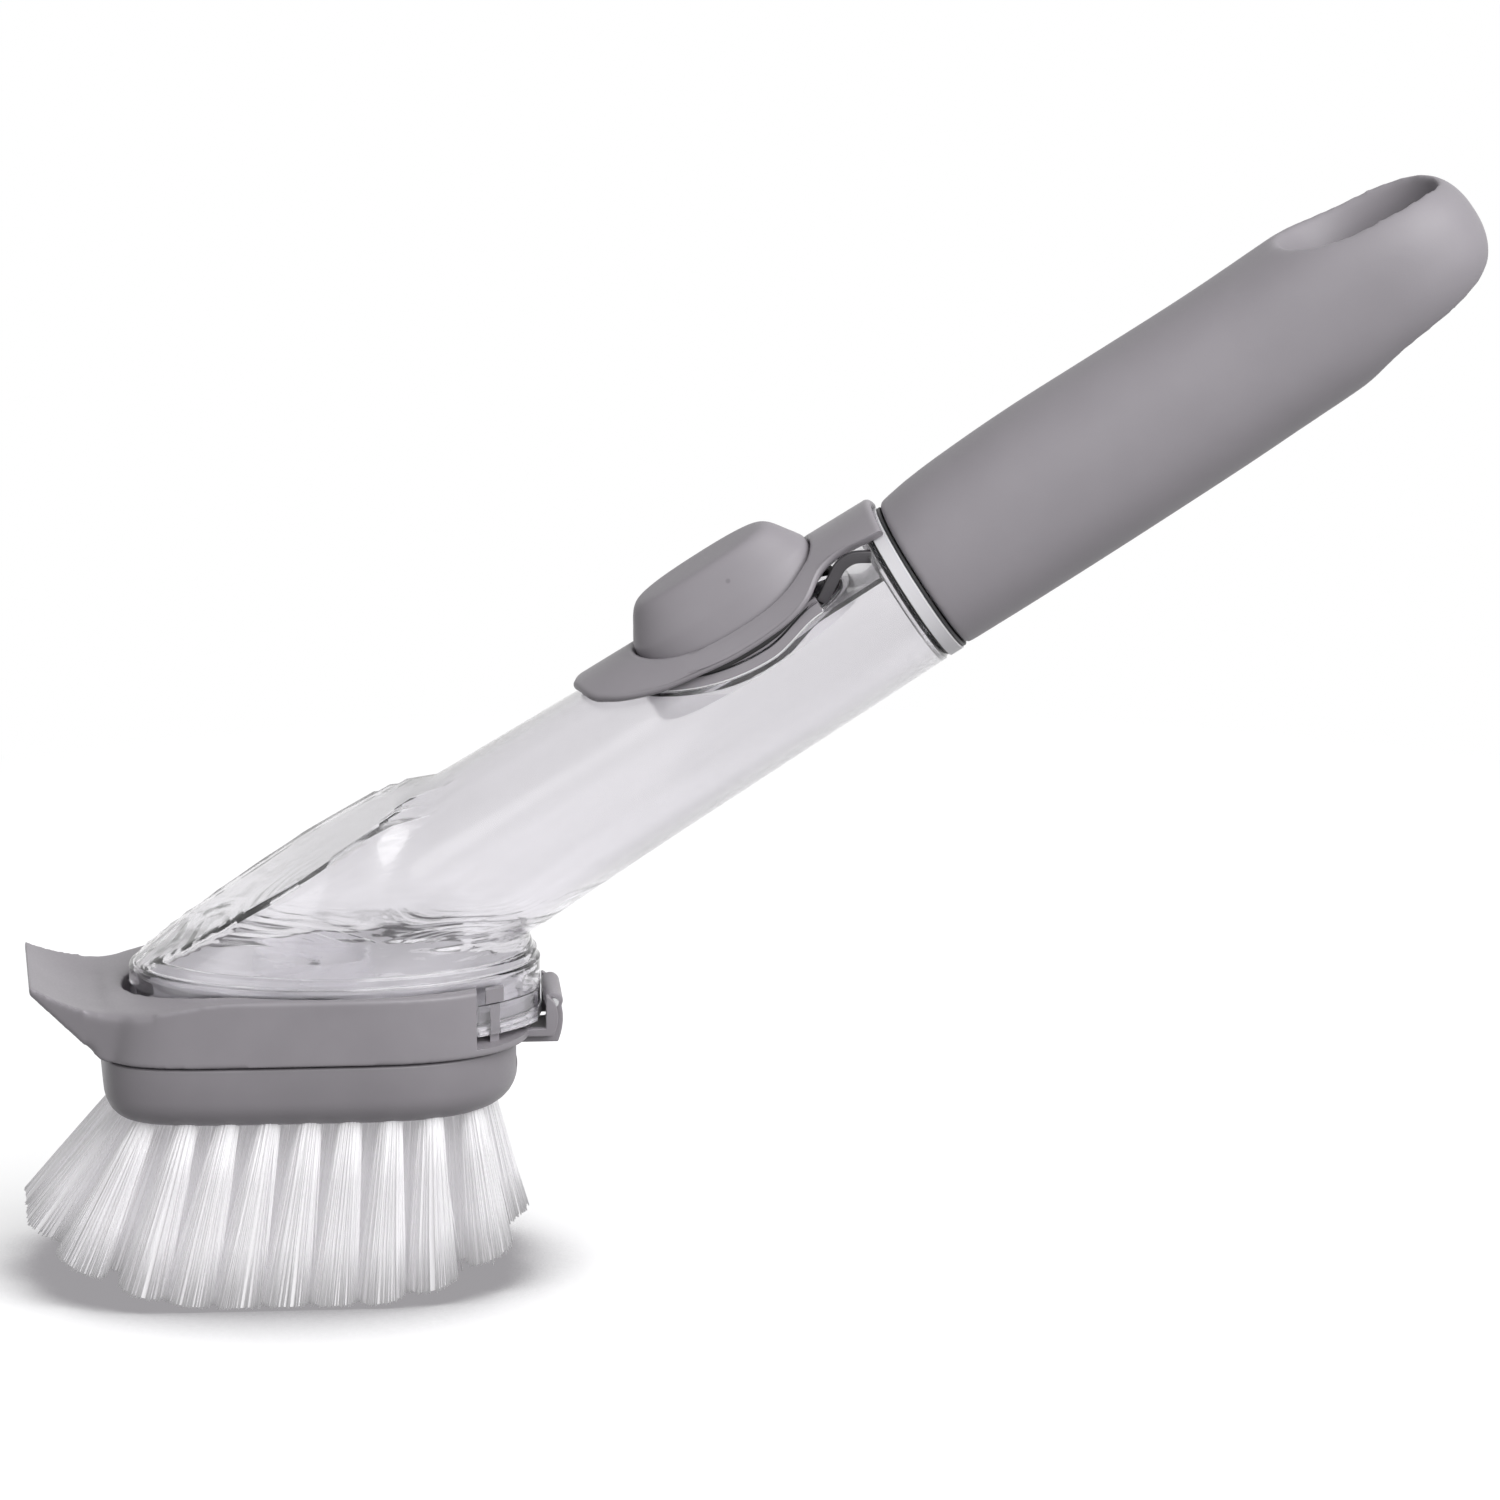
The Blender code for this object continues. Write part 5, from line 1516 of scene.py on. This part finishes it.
def grip_size(place):
    """Top, bottom and half width of the handle at a distance from its mouth."""
    share = place / grip_length
    top = grip_height * read_shares(grip_place_shares, grip_top_shares, share)
    bottom = -grip_height * read_shares(grip_place_shares, grip_bottom_shares, share)
    width = grip_half_width * read_shares(grip_place_shares, grip_width_shares, share)
    if share > grip_end_start_share:
        u = min(1.0, (share - grip_end_start_share) / (1 - grip_end_start_share))
        fall = (1 - u ** grip_end_power) ** (1 / grip_end_power)
        middle = (top + bottom) / 2
        top, bottom, width = mix(middle, top, fall), mix(middle, bottom, fall), width * fall
    return top, bottom, width


def grip_ring(place, inset=0.0):
    top, bottom, width = grip_size(place)
    middle, half = (top + bottom) / 2, (top - bottom) / 2 - inset
    bend = grip_section_power + grip_square_power * smooth_step((place - grip_square_start) / grip_square_run)
    return [(place, y, middle + z) for y, z in oval(0, width - inset, half, outline_points, bend)]


def hole_ring(height, flare):
    """The hanging hole's outline at a height, widened at its lips."""
    outline = oval(hole_middle, hole_half_length + hole_lip * flare, hole_half_width + hole_lip_side * flare,
                   outline_points, hole_power)
    return at_height(outline, height)


def make_grip():
    start = grip_length * grip_end_start_share
    places = spread(grip_edge, start, 40)
    places += [start + (grip_length - start) * math.sin(math.pi / 2 * share)
               for share in spread(0, grip_last_ring_share, 30)[1:]]
    rings = [grip_ring(0, grip_edge), grip_ring(grip_edge_share * grip_edge, grip_edge_share * grip_edge)]
    rings += [grip_ring(place) for place in places]
    obj = as_object(skin(rings), "grip_skin")
    around, nose = core_radius + fit_gap, core_length + fit_gap
    bore = [(-overrun, around), (nose - core_nose_length, around), (nose, core_nose_radius + fit_gap)]
    combine(obj, turned(bore, outline_points, closed=False))
    top, bottom, _ = grip_size(hole_middle)
    flares = [(share, share ** hole_lip_power) for share in spread(0, 1, 9)]
    rings = [hole_ring(bottom - overrun, 1.0)]
    rings += [hole_ring(bottom + hole_lip_height * (1 - share), flare) for share, flare in reversed(flares)]
    rings += [hole_ring(top - hole_lip_height * (1 - share), flare) for share, flare in flares]
    rings.append(hole_ring(top + overrun, 1.0))
    combine(obj, skin(rings))
    remesh(obj, grip_voxel)
    relax(obj, 4)
    relax(obj, 14, lambda point: point.x > hole_middle - 2 * hole_half_length)
    thin_out(obj, grip_share_kept)
    dress(obj, tube_frame, "handle", soft_grip, ("handle_grip",), softest_angle)


def make_neck():
    """The clear ring at the tube's neck and the black seal behind it, with rounded edges."""
    def ring(name, start, end, outer):
        profile = [(end, socket_radius), (end, outer - ring_edge), (end - ring_edge, outer),
                   (start + ring_edge, outer), (start, outer - ring_edge), (start, socket_radius)]
        return as_object(turned(profile), name)

    clear = ring("neck_ring_clear", -ring_start, -ring_end, tube_neck_radius)
    dress(clear, tube_frame, "body", ring_plastic, ("neck_ring",))
    gasket = ring("neck_gasket", -tube_neck_end, -ring_start, tube_neck_radius - gasket_inset)
    dress(gasket, tube_frame, "body", black_rubber)
    seal = ring("neck_seal_ring", -seal_ring_start, -seal_ring_end, seal_ring_radius)
    dress(seal, tube_frame, "neck_seal", black_rubber, ("neck_seal",))


# Stage

def make_camera():
    right, up, backward = camera_axes()
    data = bpy.data.cameras.new("camera")
    data.sensor_width = sensor_width
    data.lens = sensor_width * camera_distance / (photo_pixels * pixel_size)
    data.clip_end = 4 * camera_distance
    camera = bpy.data.objects.new("camera", data)
    camera.matrix_world = Matrix((right, up, backward)).transposed().to_4x4()
    camera.matrix_world.translation = view_centre + backward * camera_distance
    show(camera)
    bpy.context.scene.camera = camera


def add_lamp(name, place, size, power_watts):
    data = bpy.data.lights.new(name, "AREA")
    data.shape = "DISK"
    data.size = size
    data.energy = power_watts
    lamp = bpy.data.objects.new(name, data)
    lamp.location = place
    lamp.rotation_euler = (view_centre - Vector(place)).to_track_quat("-Z", "Y").to_euler()
    show(lamp)


def seen_directly(tree):
    """1 for camera, glossy and transmission rays, which see the white studio."""
    path = tree.nodes.new("ShaderNodeLightPath")
    total = path.outputs["Is Camera Ray"]
    for name in ("Is Glossy Ray", "Is Transmission Ray"):
        total = add_math(tree, "MAXIMUM", total, path.outputs[name])
    return total


def add_mix(tree, factor, first, second):
    """One shader laid over another by a factor."""
    node = tree.nodes.new("ShaderNodeMixShader")
    for socket, value in zip(node.inputs, (factor, first, second)):
        tree.links.new(value, socket)
    return node.outputs[0]


def make_world():
    world = bpy.data.worlds.new("studio")
    bpy.context.scene.world = world
    world.use_nodes = True
    tree = world.node_tree
    background = tree.nodes["Background"]
    background.inputs["Color"].default_value = (1, 1, 1, 1)
    strength = tree.nodes.new("ShaderNodeMix")
    strength.inputs[2].default_value = world_strength
    strength.inputs[3].default_value = 1.0
    tree.links.new(seen_directly(tree), strength.inputs[0])
    tree.links.new(strength.outputs[0], background.inputs["Strength"])


def make_floor():
    """A white floor that shows the brush's shadow from the lamps, with a painted shadow darkening it where
    the brush stands near, and fades into the white studio.
    """
    bm = bmesh.new()
    bmesh.ops.create_grid(bm, x_segments=1, y_segments=1, size=floor_size)
    floor = as_object(bm, "floor")
    floor.location.z = -fit_gap
    material, tree, shader = new_material("floor")
    shader.inputs["Base Color"].default_value = (*floor_colour, 1.0)
    shader.inputs["Roughness"].default_value = 0.9
    shader.inputs["Specular IOR Level"].default_value = 0.0
    glow = tree.nodes.new("ShaderNodeEmission")
    glow.inputs["Strength"].default_value = floor_lift
    lit = tree.nodes.new("ShaderNodeAddShader")
    tree.links.new(shader.outputs[0], lit.inputs[0])
    tree.links.new(glow.outputs[0], lit.inputs[1])
    # Painted shadow: where ambient occlusion finds the brush near, an emitted dark colour is blended over the
    # lit floor
    near = tree.nodes.new("ShaderNodeAmbientOcclusion")
    near.inputs["Distance"].default_value = painted_shadow_reach
    painted_shadow_emission = tree.nodes.new("ShaderNodeEmission")
    painted_shadow_emission.inputs["Color"].default_value = (*floor_painted_shadow_colour, 1.0)
    shade = add_range(tree, near.outputs["AO"], 0.0, 1.0, painted_shadow_dark, painted_shadow_light)
    lit_and_painted_shadow = add_mix(tree, shade, painted_shadow_emission.outputs[0], lit.outputs[0])
    white = tree.nodes.new("ShaderNodeEmission")
    coordinates = tree.nodes.new("ShaderNodeTexCoord")
    length = tree.nodes.new("ShaderNodeVectorMath")
    length.operation = "LENGTH"
    tree.links.new(coordinates.outputs["Object"], length.inputs[0])
    fade = add_range(tree, length.outputs["Value"], 0.0, 1.0, fade_start, fade_end)
    far = add_mix(tree, fade, lit_and_painted_shadow, white.outputs[0])
    bounce = tree.nodes.new("ShaderNodeBsdfDiffuse")
    bounce.inputs["Color"].default_value = (floor_bounce, floor_bounce, floor_bounce, 1.0)
    blend = add_mix(tree, seen_directly(tree), bounce.outputs[0], far)
    tree.links.new(blend, tree.nodes["Material Output"].inputs["Surface"])
    floor.data.materials.append(material)


bpy.context.scene.view_settings.view_transform = "Standard"
make_camera()
make_world()
make_floor()
add_lamp("key", key_place, key_size, key_power)
add_lamp("fill", fill_place, fill_size, fill_power)

make_reservoir()
make_sole_cup()
make_skirt()
make_frame()
make_latch()
make_block()
make_cores()
make_bristles()
make_plate()
make_straps()
make_liner()
make_tray()
make_dome()
make_grip()
make_neck()

finishes = {"sole_plate": frosted_plastic, "sole_seal": pale_silicone, "outlet_valve": pale_silicone,
            "valve_retainer": frosted_plastic, "pump_valve": black_rubber,
            "handle_core": grey_plastic}
for node, material in finishes.items():
    mesh = frame["nodes"][node].data
    mesh.materials.clear()
    mesh.materials.append(material)
